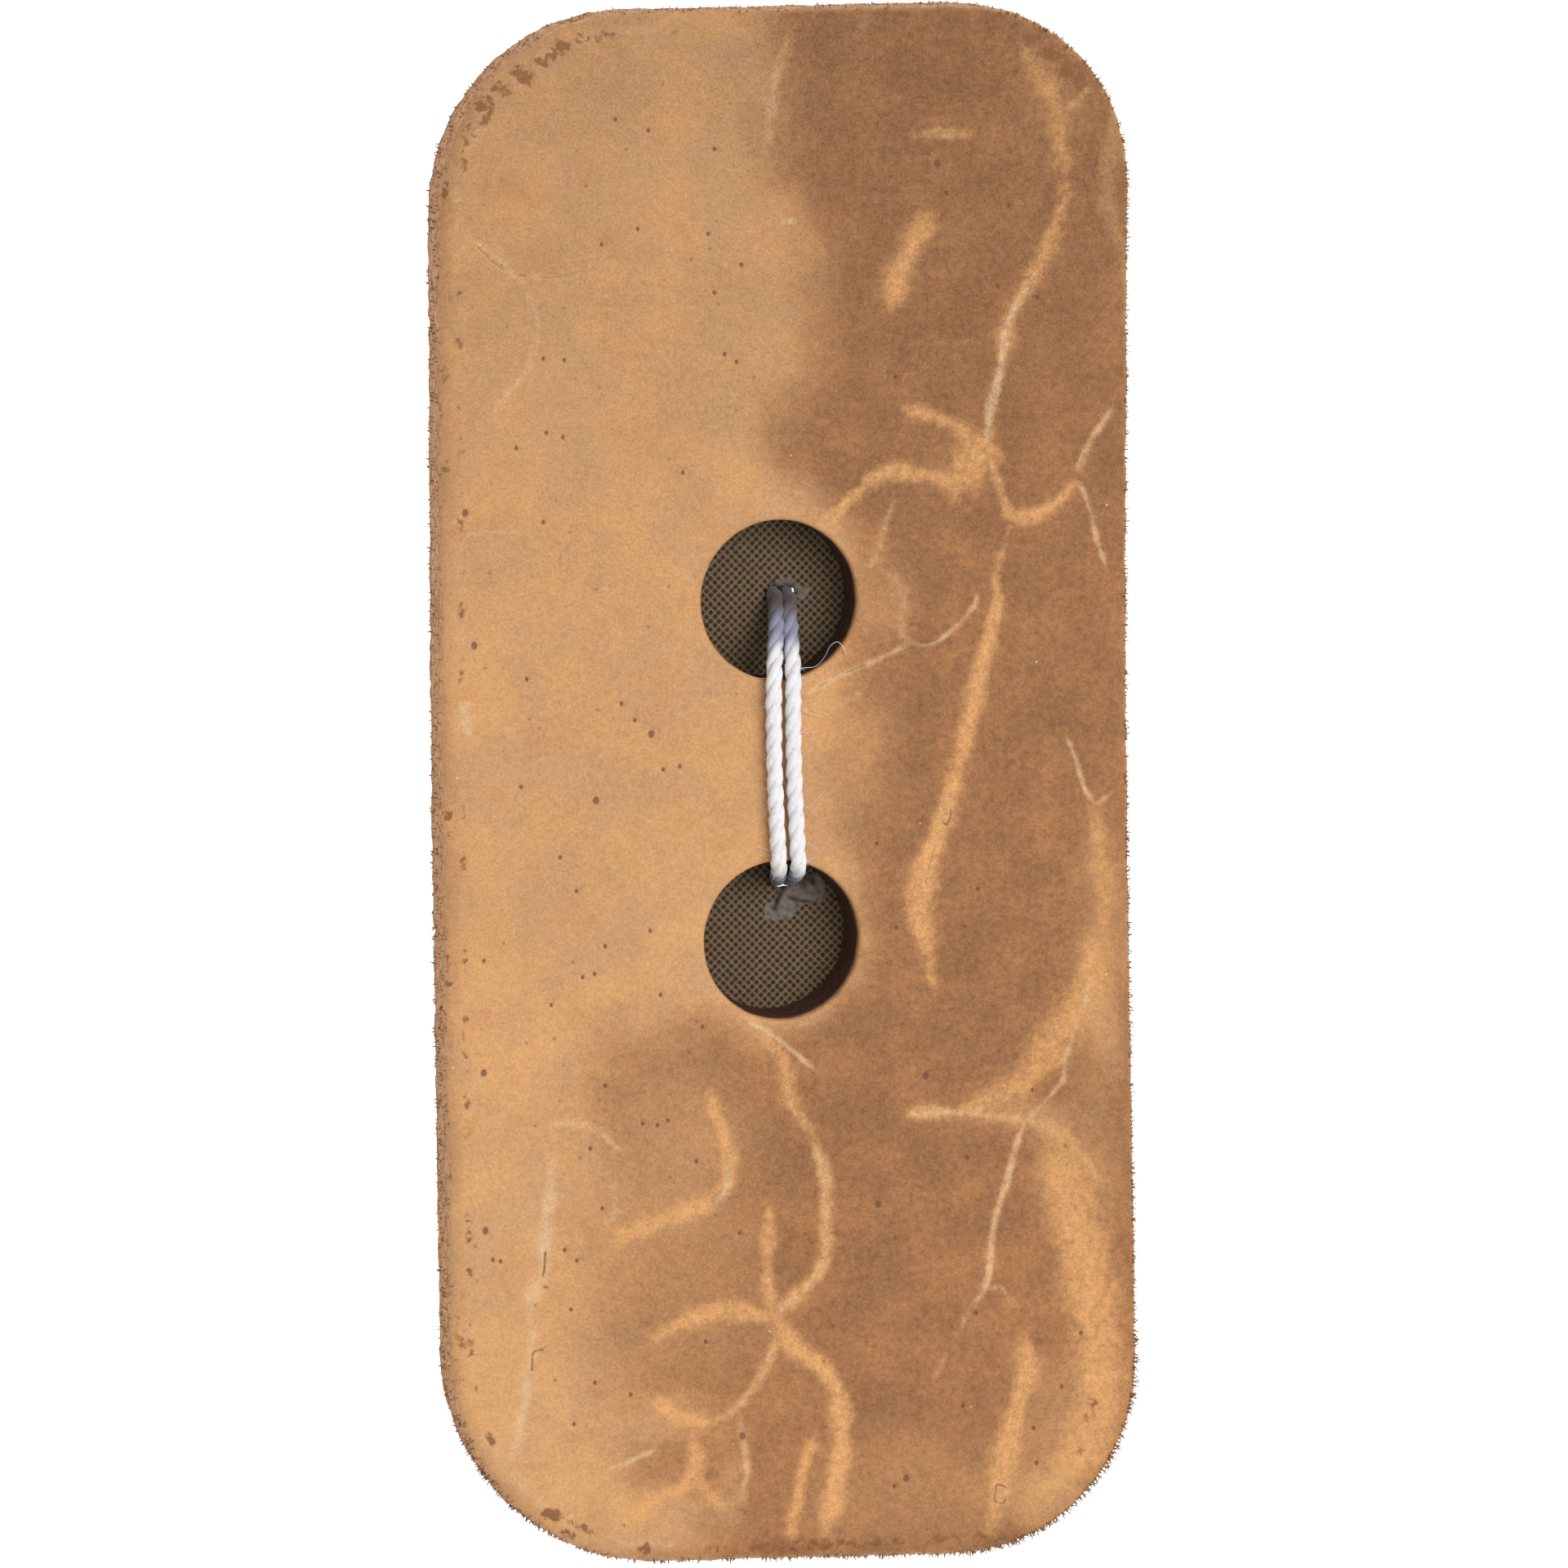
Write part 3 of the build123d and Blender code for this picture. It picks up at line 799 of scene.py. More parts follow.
def along_crease(x, y, path, reach):
    """The points near a crease: which they are, how far from its line, and how far along it, 0 to 1."""
    near = (x > path[:, 0].min() - reach) & (x < path[:, 0].max() + reach)
    near &= (y > path[:, 1].min() - reach) & (y < path[:, 1].max() + reach)
    near = np.flatnonzero(near)
    gaps = np.hypot(x[near, None] - path[:, 0], y[near, None] - path[:, 1])
    nearest = gaps.argmin(axis=1)
    return near, gaps[np.arange(len(near)), nearest], nearest / (len(path) - 1)


def add_spots(values, x, y, spots):
    """Raises values to each ragged oval spot: centre, half sizes, strength."""
    ragged = 0.45 * lumps(x, y, 0.5, 77) + 0.45 * lumps(x, y, 0.24, 78)
    for centre, (half_x, half_y), strength in spots:
        cx, cy = level(centre)[0]
        far = np.hypot((x - cx) / half_x, (y - cy) / half_y) + ragged
        np.maximum(values, strength * rise(-far, -1.25, -0.55), out=values)


def brown_amount(x, y):
    """How brown the face is: the drawn area, with a wandering, soft border, less its paler islands."""
    wander_x = x + 0.9 * lumps(x, y, 3.1, 51) + 0.35 * lumps(x, y, 1.1, 52)
    wander_y = y + 0.9 * lumps(x, y, 3.3, 53) + 0.35 * lumps(x, y, 1.2, 54)
    area = smooth_path(level(BROWN_AREA), 0.5)
    depth = nearest_gaps(wander_x, wander_y, area)
    depth[~inside(wander_x, wander_y, area)] *= -1
    soft = 1 + 1.2 * rise(-y - 0.4 * x, 14, 22) + 0.7 * rise(y, 16, 26)
    brown = rise(depth / soft, -1.7, 2.2)
    for centre, (half_x, half_y), strength in PALE_AREAS:
        cx, cy = level(centre)[0]
        far = np.hypot((wander_x - cx) / half_x, (wander_y - cy) / half_y)
        brown *= 1 - strength * rise(-far, -1.3, -0.2)
    return brown


def raise_to(values, near, new):
    """Raises some of the values to new ones, where these are higher."""
    values[near] = np.maximum(values[near], new)


def mark_crease(marks, x, y, number, crease):
    """One crease: a soft tan body, a narrower pale streak, and a broken open crack, pressed into the face."""
    width, tan, pale, crack, points = crease
    path = smooth_path(level(points))
    near, gap, share = along_crease(x, y, path, 2.5 * width)
    side = gap + 0.12 * width * lumps(x[near], y[near], 0.8, 60)
    fade = np.minimum(rise(share, -0.15, 0.15), rise(1 - share, -0.15, 0.15))
    swell = (0.5 + 0.5 * fade) * (1 + 0.35 * lumps(share * 9, share * 0 + number, 1.0, 61))
    body = np.exp(-(side / (0.5 * width * swell)) ** 2) * fade
    thin = 0.12 + 0.2 * width * fade
    patchy = 0.85 + 0.3 * lumps(x[near], y[near], 0.9, 62)
    streak = np.exp(-(side / thin) ** 2) * fade * patchy
    broken = rise(lumps(share * len(path) * 0.12, share * 0 + number, 0.7, 63), -0.6, 0.1)
    line = np.exp(-(gap / 0.105) ** 2) * broken
    lip = np.exp(-((gap - 0.2) / 0.1) ** 2) * broken
    raise_to(marks["tan"], near, tan * body)
    raise_to(marks["pale"], near, pale * streak)
    raise_to(marks["crack"], near, crack * line)
    raise_to(marks["groove"], near, 0.05 * body * max(tan, pale) + crack * (0.09 * line - 0.035 * lip))


def mark_pore(marks, x, y, centre, radius):
    cx, cy = centre
    near = np.flatnonzero(np.hypot(x - cx, y - cy) < 3 * radius)
    far = np.hypot(x[near] - cx, 0.8 * (y[near] - cy))
    hollow = rise(-far, -radius, -0.45 * radius)
    raise_to(marks["pore"], near, hollow)
    marks["groove"][near] += 0.07 * hollow


def leather_marks(x, y):
    """How much of each mark there is at each point of the face."""
    marks = {name: np.zeros(len(x)) for name in ("tan", "pale", "crack", "pore", "stain", "groove")}
    marks["brown"] = brown_amount(x, y)
    for number, crease in enumerate(CREASES):
        mark_crease(marks, x, y, number, crease)
    for radius, centres in PORE_SIZES:
        for centre in level(centres):
            mark_pore(marks, x, y, centre, radius)
    add_spots(marks["stain"], x, y, STAINS)
    return marks


def mark_points():
    """Extra mesh points where the face has fine detail: across each crack, and in each pore."""
    found = []
    for _, _, pale, crack, points in CREASES:
        if crack < 0.15 and pale < 0.6:
            continue
        path = smooth_path(level(points), 0.14)
        along = unit_rows(np.gradient(path, axis=0))
        normal = np.column_stack([along[:, 1], -along[:, 0]])
        for offset in (-0.36, -0.2, -0.1, 0, 0.1, 0.2, 0.36):
            found.append(path + offset * normal)
    for radius, centres in PORE_SIZES:
        for centre in level(centres):
            found.append(centre[None])
            for ring, count in ((0.5, 6), (1.0, 9)):
                angle = np.arange(count) * 2 * math.pi / count
                found.append(centre + ring * radius * np.column_stack([np.cos(angle), np.sin(angle) / 0.8]))
    points = np.vstack(found)
    rounded = np.round(points / 0.05)
    _, first = np.unique(rounded, axis=0, return_index=True)
    return points[np.sort(first)]


def face_height(x, y, marks):
    """The leather's face is nearly flat: it waves gently, is finely uneven, and dips at creases and pores."""
    wave = 0.07 * lumps(x, y, 17, 71) + 0.035 * lumps(x, y, 6, 72)
    uneven = 0.012 * lumps(x, y, 1.6, 73) + 0.006 * lumps(x, y, 0.7, 74)
    return FACE_Z + wave + uneven - marks["groove"]


# ---------------------------------------------------------------- leather

# How the slab's edge runs from face to back: distance in from the outline, depth below the face
EDGE_PROFILE = [
    (1.15, 0.0), (0.85, 0.03), (0.6, 0.08), (0.38, 0.17), (0.2, 0.3), (0.07, 0.47), (0.0, 0.7), (-0.01, 1.0),
    (0.0, 1.35), (0.02, 1.75), (0.03, 2.15), (0.02, 2.55), (0.0, 2.9), (0.02, 3.2), (0.1, 3.42), (0.3, 3.55),
    (0.6, 3.6),
]
HOLE_PROFILE = [
    (0.3, 0.0), (0.16, 0.03), (0.06, 0.09), (0.01, 0.19), (0.0, 0.35), (0.0, 0.7), (0.01, 1.2), (0.0, 1.8),
    (-0.01, 2.4), (0.0, 3.0), (0.02, 3.4), (0.15, 3.55), (0.4, 3.6),
]


def side_rings(loop, outward, profile, wear, seed):
    """Rings down a cut side, with fibres standing a little in and out of it."""
    along = np.cumsum(np.linalg.norm(loop - np.roll(loop, 1, axis=0), axis=1))
    edge = 1.0 * lumps(along, 0 * along, 0.45, seed) + 0.8 * lumps(along, 0 * along, 2.3, seed + 1)
    rings = []
    for inset, drop in profile:
        ragged = lumps(along, 0 * along + drop * 1.7, 0.6, seed + 2) + edge
        cut = rise(drop, 0.05, 0.6)
        shift = wear * ragged * (0.35 + 0.65 * cut) - inset
        places = loop + shift[:, None] * outward
        rings.append((places, drop))
    return rings


def bite_edge(loop, outward):
    """Presses the nicks into an outline."""
    loop = loop.copy()
    for centre, half_length, depth in NICKS:
        far = np.hypot(*(loop - level(centre)[0]).T)
        loop -= (depth * rise(-far, -half_length * 1.6, -half_length * 0.3))[:, None] * outward
    return loop


def hole_sides(number, centre, slant):
    """Rings down one punched hole, whose lower end lies further down the strop by its slant."""
    angle = turns(HOLE_SIDES)
    circle = np.column_stack([np.cos(angle), np.sin(angle)])
    rings = side_rings(centre + HOLE_RADIUS * circle, -circle, HOLE_PROFILE, 0.018, 91 + 5 * number)
    shift = slant * (circle - (0, 1)) / LEATHER_THICKNESS
    return [(places - drop * shift, drop) for places, drop in rings]


def placed_ring(places, drop):
    """A ring in three dimensions, between the uneven face and the flat back."""
    x, y = places.T
    face = face_height(x, y, leather_marks(x, y))
    return np.column_stack([places, face - drop * (face - LEATHER_BACK_Z) / LEATHER_THICKNESS])


def build_leather(material):
    outline = cad_outline("strop_leather", FACE_Z - 0.5, OUTLINE_STEP)
    outward = outward_normals(outline)
    outline = bite_edge(outline, outward)
    sides = [side_rings(outline, outward, EDGE_PROFILE, 0.042, 81)]
    for number, (centre, slant) in enumerate(PUNCHED_HOLES):
        sides.append(hole_sides(number, centre, slant))

    slab = Slab()
    drops = []
    for rings in sides:
        slab.add_side([placed_ring(places, drop) for places, drop in rings])
        drops += [np.full(len(places), drop) for places, drop in rings]

    def top(x, y):
        return face_height(x, y, leather_marks(x, y))

    def back(x, y):
        return LEATHER_BACK_Z + 0.02 + 0.02 * lumps(x, y, 1.3, 75)

    slab.add_face(slab.face_loops, FACE_STEP, 76, top, mark_points())
    before_back = slab.total
    slab.add_face(slab.back_loops, BACK_STEP, 77, back)
    places = np.vstack(slab.places)
    leather = make_piece("strop_leather_slab", places, slab.faces, material, "leather")
    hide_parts("strop_leather")
    paint_leather(leather, places, np.concatenate(drops), before_back, outline)


def wall_and_flesh(places, drops, before_back):
    """Which parts of the slab are its cut walls, and which its flesh side."""
    wall = np.zeros(len(places))
    flesh = np.zeros(len(places))
    flesh[:len(drops)] = rise(drops, 3.35, 3.55)
    wall[:len(drops)] = rise(drops, 0.12, 0.75) * (1 - flesh[:len(drops)])
    flesh[before_back:] = 1
    return wall, flesh


def gap_to_holes(x, y):
    """How far each point is from the nearest punched hole's edge."""
    gaps = [np.abs(np.hypot(x - cx, y - cy) - HOLE_RADIUS) for (cx, cy), _ in PUNCHED_HOLES]
    return np.minimum(*gaps)


def paint_leather(leather, places, drops, before_back, outline):
    """Marks, and wear along the rim: most on the left side, the two left corners and round the holes; also
    painted shade on the walls inside the holes.
    """
    x, y, _ = places.T
    marks = leather_marks(x, y)
    wall, flesh = wall_and_flesh(places, drops, before_back)
    face = 1 - np.maximum(wall, flesh)
    inset = nearest_gaps(x, y, outline)
    left = rise(-x, 17, 21.5)
    corner = np.clip(rise(y - 0.8 * x, 50, 58) + rise(-y - 0.9 * x, 50, 60), 0, 1)
    broken = 0.75 + 0.5 * lumps(x, y * 0.5, 1.3, 64)
    hole_gap = gap_to_holes(x, y)
    burnish = np.maximum(0.6 * left * rise(-inset, -1.5, -0.7) * broken,
                         0.4 * corner * rise(-inset, -2.4, -1.0) * broken)
    burnish = np.maximum(burnish, 0.5 * rise(-hole_gap, -0.28, -0.08))
    rim_line = np.exp(-((inset - 1.3) / 0.22) ** 2) * rise(lumps(x, y, 1.1, 65), -0.2, 0.7)
    stain = np.maximum(marks["stain"], 0.75 * rim_line * np.maximum(left, corner))
    bare = 0.5 * corner * np.exp(-((inset - 1.15) / 0.45) ** 2) * rise(broken, 0.5, 0.9)
    pale = np.maximum(marks["pale"], bare)
    # painted shade for the cut walls inside the punched holes, carried in the same value as the burnish
    hole_wall_shade = (hole_gap < 0.5) * (1 - face)
    paint(leather, "tone", [marks["brown"] * face, marks["tan"] * face, pale * face])
    paint(leather, "marks", [marks["crack"] * face, marks["pore"] * face, stain * face])
    paint(leather, "zone", [np.maximum(burnish * face, hole_wall_shade), wall, flesh])


# ---------------------------------------------------------------- card

def ragged_oval(centre, half_sizes, seed):
    angle = turns(60)
    wide = lumps(angle * 2.5, 0 * angle, 1.0, seed)
    narrow = lumps(angle * 9, 0 * angle, 1.0, seed)
    reach = 1 + 0.14 * wide + 0.07 * narrow
    return centre + reach[:, None] * np.column_stack([np.cos(angle), np.sin(angle)]) * half_sizes


# Where the card is torn up round the twine: hole centre and half sizes, then soft grey patches of torn fibre
TEARS = [
    ((0.2, 12.25), (1.02, 0.56), [((0.4, 12.9), (1.0, 0.6)), ((1.35, 12.25), (0.75, 0.45))]),
    ((0.45, -6.35), (1.05, 0.52), [((0.15, -8.3), (1.4, 0.7)), ((0.6, -7.3), (0.8, 1.0)),
                                   ((1.8, -7.1), (1.6, 1.1)), ((2.4, -6.9), (0.9, 0.9))]),
]

# Slits and pits in the torn paper, painted dark as shade: the points that each runs through, and half its
# width
SLITS = [
    ([(0.4, -6.8), (0.15, -7.5), (-0.2, -8.3)], 0.17),
    ([(0.9, -7.6), (1.5, -7.8), (2.1, -7.9)], 0.1),
    ([(1.6, -6.2), (1.75, -6.9)], 0.16),
    ([(2.3, -6.4), (2.45, -6.7)], 0.15),
    ([(1.0, -6.4), (1.1, -6.5)], 0.12),
    ([(-0.25, 12.75), (-0.1, 12.65)], 0.12),
    ([(0.75, 12.75), (0.95, 12.7)], 0.12),
]


def torn_amount(x, y):
    torn = np.zeros(len(x))
    ragged = 0.3 * lumps(x, y, 0.6, 101) + 0.15 * lumps(x, y, 0.25, 102)
    for _, _, patches in TEARS:
        for (cx, cy), (half_x, half_y) in patches:
            far = np.hypot((x - cx) / half_x, (y - cy) / half_y) + ragged
            torn = np.maximum(torn, rise(-far, -1.15, -0.75))
    return torn


def slit_amount(x, y):
    dark = np.zeros(len(x))
    for points, half_width in SLITS:
        near, gap, _ = along_crease(x, y, smooth_path(points, 0.05), 4 * half_width)
        raise_to(dark, near, np.exp(-(gap / half_width) ** 2))
    return dark


def card_height(x, y):
    """The printed face lies flat, but lifts and puckers where the twine tore through it."""
    lift = torn_amount(x, y)
    crumple = 0.5 + 0.5 * lumps(x, y, 0.55, 103) + 0.25 * lumps(x, y, 0.22, 104)
    return CARD_Z + 0.16 * lift * crumple - 0.12 * slit_amount(x, y)


def seen_card_points():
    """A fine grid of points on the parts of the card that show through the punched holes."""
    found = []
    for centre, _ in PUNCHED_HOLES:
        low = np.array(centre) - HOLE_RADIUS
        points = grid_points(low, low + 2 * HOLE_RADIUS, CARD_DETAIL_STEP, 107)
        found.append(points[np.hypot(*(points - centre).T) < HOLE_RADIUS])
    return np.vstack(found)


def build_card_face():
    loops = [cad_outline("card_face", CARD_Z, CARD_OUTLINE_STEP)]
    for number, (centre, half_sizes, _) in enumerate(TEARS):
        loops.append(ragged_oval(centre, half_sizes, 105 + number))
    slab = Slab()
    for loop in loops:
        x, y = loop.T
        top = card_height(x, y)
        slab.add_side([np.column_stack([loop, top - share * PAPER]) for share in (0, 0.5, 1)])
    slab.add_face(slab.face_loops, CARD_STEP, 108, card_height, seen_card_points())
    slab.add_face(slab.back_loops, CARD_STEP, 109, lambda x, y: card_height(x, y) - PAPER)
    places = np.vstack(slab.places)
    card = make_piece("printed_card_face", places, slab.faces, printed_paper_material(), "printed_paper")
    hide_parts("card_face")
    x, y, _ = places.T
    paint(card, "print", [torn_amount(x, y), slit_amount(x, y), 0])


def dress_card():
    """The card's inner and back papers keep their CAD shape."""
    inner = kraft_material("fluting_paper_finish", srgb(186, 148, 104), srgb(146, 112, 76))
    back = kraft_material("kraft_paper_finish", srgb(196, 158, 114), srgb(158, 122, 84))
    for node, material in (("card_fluting", inner), ("card_back", back)):
        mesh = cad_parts[node].data
        mesh.materials.clear()
        mesh.materials.append(material)


# ---------------------------------------------------------------- twine

STRAND_DIAMETER = 1.06
PLY_RADIUS = 0.34
PLY_OFFSET = 0.21
LAY = 3.9

# One long fibre that has sprung out in a loop beside the upper punched hole
LOOSE_FIBRE = [
    (0.35, 7.5, 7.0), (0.7, 7.75, 6.7), (1.7, 7.8, 6.3), (2.35, 8.4, 6.2), (2.65, 9.1, 6.4), (3.1, 9.4, 6.7),
    (3.5, 8.95, 6.85), (3.65, 8.6, 6.7),
]


def strand_route(side):
    """One strand: from the knot, up through the card, over the leather's face, and back down to the knot."""
    close = side * 0.43
    beside = side * 0.55
    apart = side * 0.65
    behind = BACK_RUN_X + beside
    upper = UPPER_THREAD_X + close
    lower = LOWER_THREAD_X + close
    return [
        (behind, 4.3, 1.1), (behind, 8.5, 1.1), (UPPER_THREAD_X + beside, 11.9, 1.1),
        (upper, 12.35, 1.4), (upper, 12.3, 2.8), (0.15 + close, 11.9, 3.7), (-0.1 + close, 10.6, 4.9),
        (-0.4 + beside, 8.9, 6.2), (-0.62 + apart, 7.35, 7.1), (-0.68 + apart, 6.2, 7.24),
        (-0.66 + apart, 4.2, 7.15), (-0.6 + apart, 0.8, 7.13), (-0.42 + apart, -2.8, 7.14),
        (-0.36 + apart, -4.2, 7.22), (-0.3 + apart, -5.1, 7.15), (-0.1 + apart, -5.5, 6.2),
        (0.2 + beside, -5.9, 4.7), (0.4 + close, -6.3, 3.2), (lower, -6.4, 1.5),
        (behind, -6.0, 1.1), (behind, -2.0, 1.1), (behind, 2.1, 1.1),
    ]


def nurbs_line(route, spacing):
    """Evenly spaced points along the smooth NURBS curve that has the route as its control points."""
    curve = bpy.data.curves.new("route", "CURVE")
    curve.dimensions = "3D"
    spline = curve.splines.new("NURBS")
    spline.points.add(len(route) - 1)
    for point, place in zip(spline.points, route):
        point.co = (*place, 1)
    spline.order_u = 3
    spline.use_endpoint_u = True
    spline.resolution_u = 24
    holder = bpy.data.objects.new("route", curve)
    mesh = bpy.data.meshes.new_from_object(holder)
    line = np.array([vertex.co for vertex in mesh.vertices])
    bpy.data.objects.remove(holder)
    bpy.data.curves.remove(curve)
    bpy.data.meshes.remove(mesh)
    return evenly_spaced(line, spacing)


def plies(line, scale, phase, seed):
    """Three yarns laid round a line."""
    along = unit_rows(np.gradient(line, axis=0))
    side = sides_along(along, np.cross(along[0], (0, 0, 1)) + (1e-3, 0, 0))
    across = np.cross(along, side)
    travelled = lengths_along(line)
    parts = []
    for ply in range(3):
        turn = phase + 2 * math.pi * (travelled / (LAY * scale) + ply / 3)
        out = np.cos(turn)[:, None] * side + np.sin(turn)[:, None] * across
        parts.append(tube(line + PLY_OFFSET * scale * out, PLY_RADIUS * scale, 10, 0.09, seed + ply))
    return parts


def hair(start, direction, length, radius, rng, steps=8):
    """One loose fibre: a thin tapering tube that curls as it goes."""
    place = np.array(start, float)
    heading = np.array(direction, float)
    turn = rng.normal(0, 0.35, 3)
    path = [place.copy()]
    for _ in range(steps):
        heading = heading + turn * 0.5 + rng.normal(0, 0.12, 3)
        heading /= np.linalg.norm(heading)
        place = place + heading * length / steps
        path.append(place.copy())
    return tube(path, radius, 3, taper=True)


def strand_fuzz(line, side, seed):
    """Cotton fibres that stand off a strand where it crosses the face, most on the outer right side."""
    rng = np.random.default_rng(seed)
    over = line[(line[:, 2] > 6.2) & (line[:, 1] > -6.2) & (line[:, 1] < 9)]
    parts = []
    count = 46 if side > 0 else 26
    for _ in range(count):
        place = over[rng.integers(len(over))]
        angle = rng.normal(0 if side > 0 else math.pi, 0.7)
        out = np.array([math.cos(angle), rng.normal(0, 0.5), abs(math.sin(angle)) * 0.7 - 0.1])
        out /= np.linalg.norm(out)
        length = rng.uniform(0.35, 1.0) if rng.random() < 0.75 else rng.uniform(1.2, 2.8)
        found = hair(place + out * STRAND_DIAMETER * 0.42, out, length, 0.013, rng)
        found[0][:, 2] = np.clip(found[0][:, 2], FACE_Z + 0.06, FACE_Z + 1.05)
        parts.append(found)
    return parts


def build_twine():
    material = twine_material()
    for name, side in (("left", -1), ("right", 1)):
        line = nurbs_line(strand_route(side), 0.12)
        parts = plies(line, 1.0, 0.6 * side, 110 + 4 * side) + strand_fuzz(line, side, 120 + side)
        if side > 0:
            parts.append(tube(smooth_path(LOOSE_FIBRE), 0.022, 4))
        places, faces = joined(parts)
        strand = make_piece(f"cotton_strand_{name}", places, faces, material, "twine")
        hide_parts(f"twine_{name}")
        _, y, z = places.T
        # painted shade on the strands down in the holes, with soil as well as painted shade nearest the card
        inner = np.maximum(rise(z, 1.6, 2.0), rise(np.abs(y - 2.9), 8.3, 8.8))
        card_soil_and_shade = rise(-z, -5.8, -4.0) * inner
        hole_shade = rise(-z, -7.1, -5.7) * inner
        paint(strand, "soil_and_shade", [card_soil_and_shade, hole_shade, 0])
    build_knot(material)


def build_knot(material):
    """A reef knot pulled tight behind the card, with two short cut tails."""
    knot_y = 3.2
    knot_z = 0.86
    rise_z = 0.36
    half = [
        (-0.45, 1.95, 0.16), (-0.42, 1.3, -rise_z), (-0.85, 0.15, rise_z), (-0.98, -0.7, -0.1),
        (-0.55, -1.28, -rise_z), (0.0, -1.42, -rise_z), (0.55, -1.28, -rise_z), (0.98, -0.7, -0.1),
        (0.85, 0.15, rise_z), (0.42, 1.3, -rise_z), (0.3, 2.2, -0.42), (0.12, 4.2, -0.45), (0.0, 6.6, -0.45),
        (0.05, 8.4, -0.45),
    ]
    parts = []
    rng = np.random.default_rng(131)
    for number, mirror in enumerate((1, -1)):
        route = [(BACK_RUN_X + mirror * x, knot_y + mirror * y,
                  knot_z + mirror * z if abs(y) < 2.1 else knot_z + z)
                 for x, y, z in half]
        line = nurbs_line(route, 0.1)
        parts += plies(line, 0.66, 1.2 * number, 132 + 4 * number)
        end = line[-1]
        for _ in range(26):
            out = np.array([rng.normal(0, 0.35), mirror, abs(rng.normal(0, 0.12))])
            out /= np.linalg.norm(out)
            start = end + (rng.uniform(-0.22, 0.22), -mirror * 0.3, rng.uniform(-0.15, 0.2))
            frayed = hair(start, out, rng.uniform(0.5, 0.95), 0.025, rng)
            frayed[0][:, 2] = np.clip(frayed[0][:, 2], 0.05, 1.6)
            parts.append(frayed)
    knot = make_piece("reef_knot", *joined(parts), material, "twine")
    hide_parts("twine_knot")
    paint(knot, "soil_and_shade", [0, 0, 0])


# ---------------------------------------------------------------- edge fibres

def build_edge_fibres(material):
    """Short leather fibres raised along the cut edge, thickest at the lower right corner."""
    rng = np.random.default_rng(141)
    outline = cad_outline("strop_leather", FACE_Z - 0.5, OUTLINE_STEP)
    outward = outward_normals(outline)
    edge_insets, edge_drops = zip(*EDGE_PROFILE)
    parts = []
    for _ in range(7000):
        index = rng.integers(len(outline))
        x, y = outline[index]
        lower = rise(-y, 30, 46)
        corner = lower * rise(x, 2, 16)
        if rng.random() > 0.42 + 0.22 * lower + 0.36 * corner:
            continue
        straight = np.array([*outward[index], 0])
        right = rise(straight[0], -0.2, 0.6)
        drop = 0.3 + 3.0 * rng.random() ** (1 + 2.5 * right)
        depth = 0.06 + np.interp(drop, edge_drops, edge_insets)
        length = depth + rng.uniform(0.1, 0.25) * (1 + 0.3 * lower + 0.5 * corner)
        out = straight + rng.normal(0, 0.3, 3)
        out /= np.linalg.norm(out)
        start = (x, y, FACE_Z - drop) - depth * straight
        parts.append(hair(start, out, length, rng.uniform(0.045, 0.08), rng, steps=4))
    fibres = make_piece("leather_edge_fibres", *joined(parts), material, "leather")
    paint(fibres, "tone", [0, 0, 0])
    paint(fibres, "marks", [0, 0, 0])
    paint(fibres, "zone", [0.42, 1, 0])


# ---------------------------------------------------------------- camera, light and floor

# Degrees to the left of and above square on, metres away, millimetres of lens, and where on the face it looks
CAMERA_LEFT = 14.5
CAMERA_UP = 6.0
CAMERA_DISTANCE = 1.5
CAMERA_LENS = 531
CAMERA_TARGET = (-0.48, 0.22)


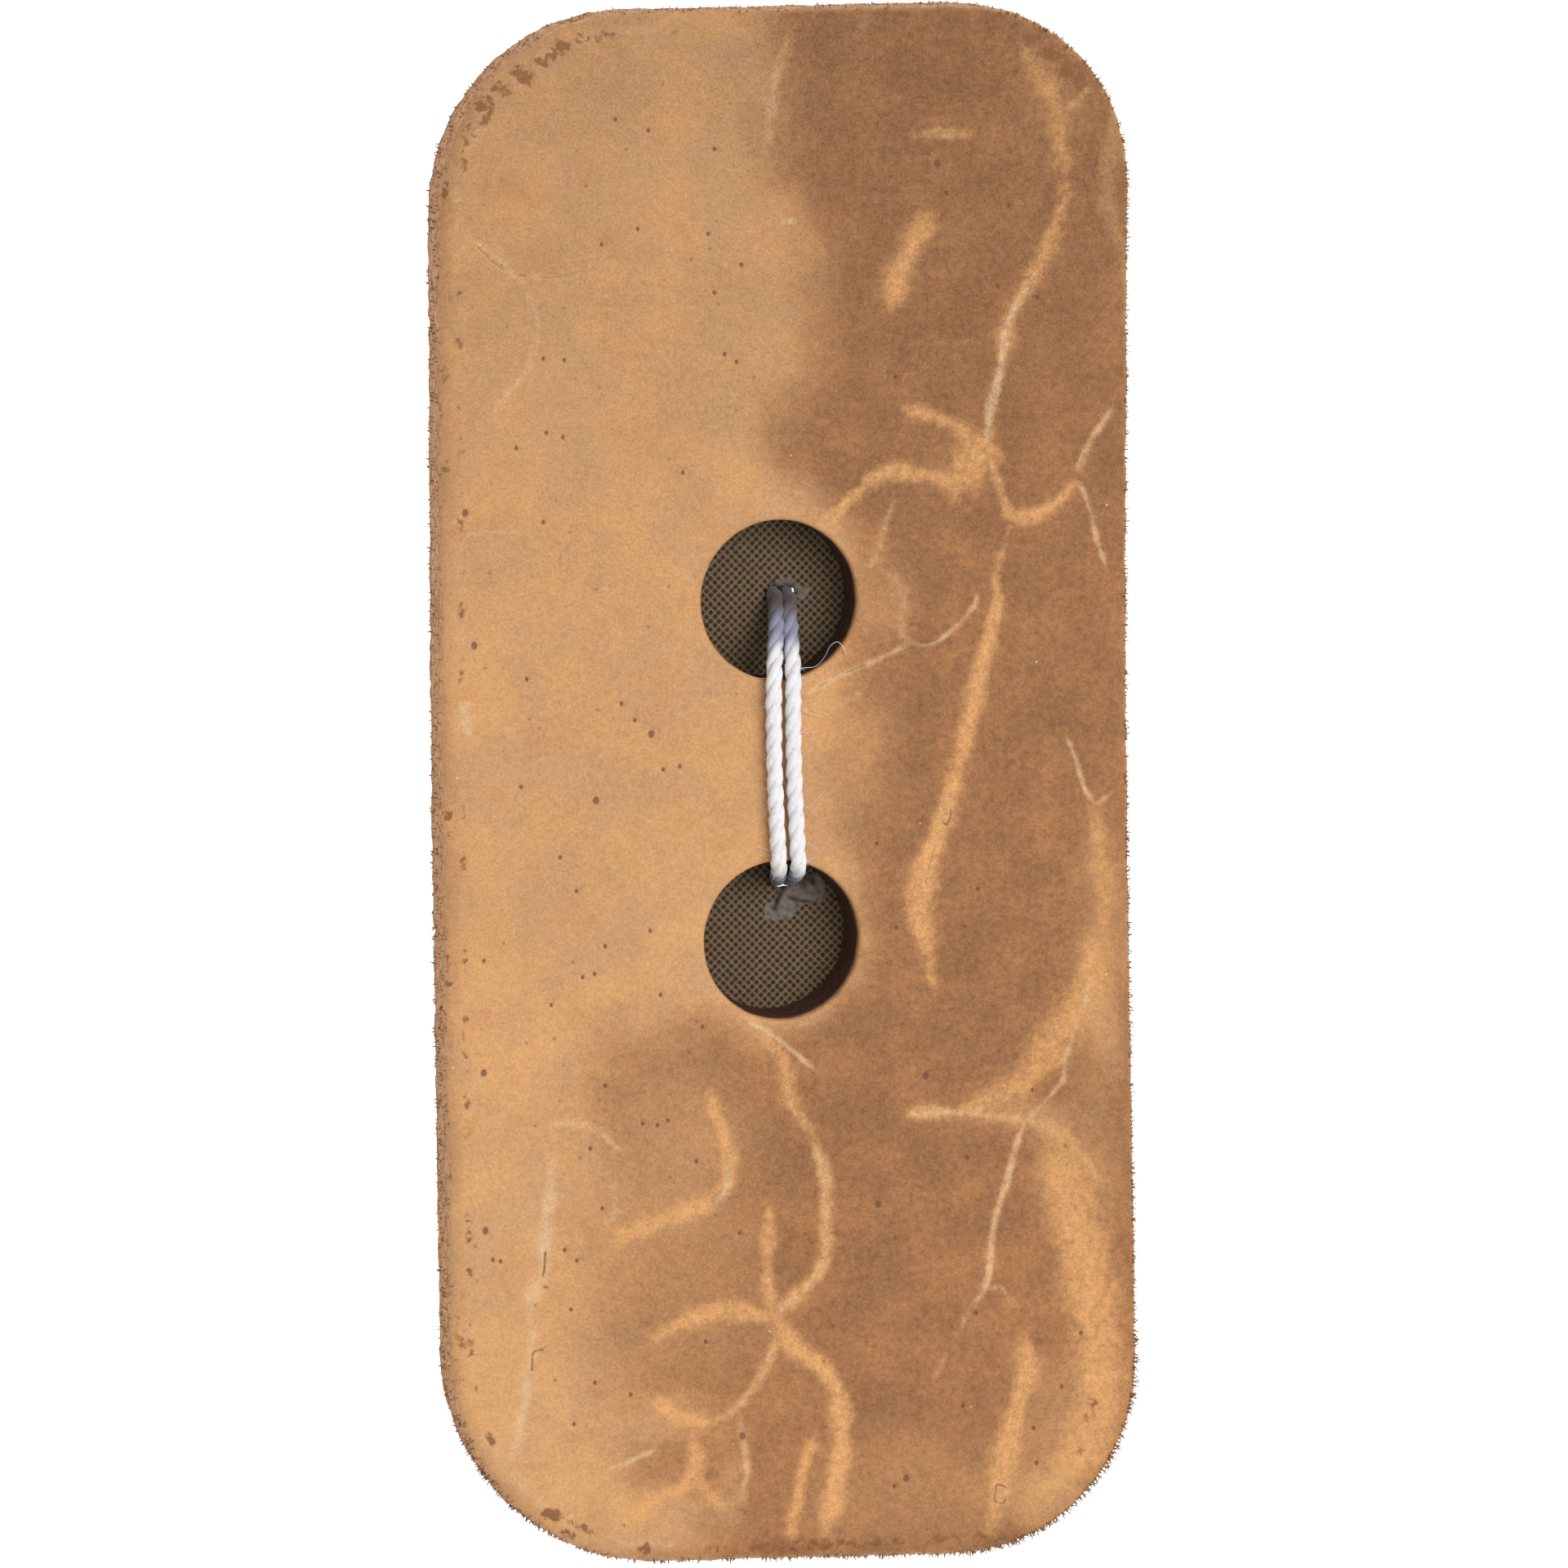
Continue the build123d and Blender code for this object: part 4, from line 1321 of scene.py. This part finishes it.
def aim(holder, place, target):
    """Points a camera or light at a target, with the strop's length upright in its view."""
    ahead = (Vector(target) - Vector(place)).normalized()
    right = ahead.cross(Vector((0, 1, 0))).normalized()
    up = right.cross(ahead)
    holder.matrix_world = Matrix((right, up, -ahead)).transposed().to_4x4()
    holder.location = place


def add_camera():
    """The viewpoint of the photograph: nearly square on, from a little to the upper left."""
    back = Vector((-math.sin(math.radians(CAMERA_LEFT)), math.sin(math.radians(CAMERA_UP)), 0))
    back.z = math.sqrt(1 - back.length_squared)
    target = Vector((*CAMERA_TARGET, FACE_Z)) * MM
    camera = bpy.data.objects.new("camera", bpy.data.cameras.new("camera"))
    camera.data.lens = CAMERA_LENS
    camera.data.sensor_width = 36
    camera.data.clip_start = 0.05
    bpy.context.scene.collection.objects.link(camera)
    aim(camera, target + back * CAMERA_DISTANCE, target)
    bpy.context.scene.camera = camera


def add_softbox(name, place, size, power, colour):
    light = bpy.data.lights.new(name, "AREA")
    light.shape = "RECTANGLE"
    light.size, light.size_y = size
    light.energy = power
    light.color = colour
    holder = bpy.data.objects.new(name, light)
    bpy.context.scene.collection.objects.link(holder)
    aim(holder, place, (0, 0, 0))


def add_light():
    add_softbox("key_light", (0.55, 0.35, 1.2), (0.9, 0.9), 10.0, (1.0, 0.985, 0.955))
    add_softbox("top_light", (0.1, 0.2, 1.4), (1.6, 1.6), 6.5, (1.0, 0.995, 0.98))
    world = bpy.data.worlds.new("studio")
    world.use_nodes = True
    background = world.node_tree.nodes["Background"]
    background.inputs["Color"].default_value = (1.0, 0.99, 0.98, 1)
    background.inputs["Strength"].default_value = 0.5
    bpy.context.scene.world = world
    bpy.context.scene.view_settings.view_transform = "Standard"


def add_floor():
    """A pale floor, cut finely enough to take light evenly."""
    mesh = bpy.data.meshes.new("floor")
    sheet = bmesh.new()
    bmesh.ops.create_grid(sheet, x_segments=8, y_segments=8, size=1.5)
    sheet.to_mesh(mesh)
    sheet.free()
    mesh.materials.append(floor_material())
    floor = bpy.data.objects.new("floor", mesh)
    bpy.context.scene.collection.objects.link(floor)


add_camera()
build_twine()
leather_finish = leather_material()
build_leather(leather_finish)
build_edge_fibres(leather_finish)
build_card_face()
dress_card()
add_light()
add_floor()
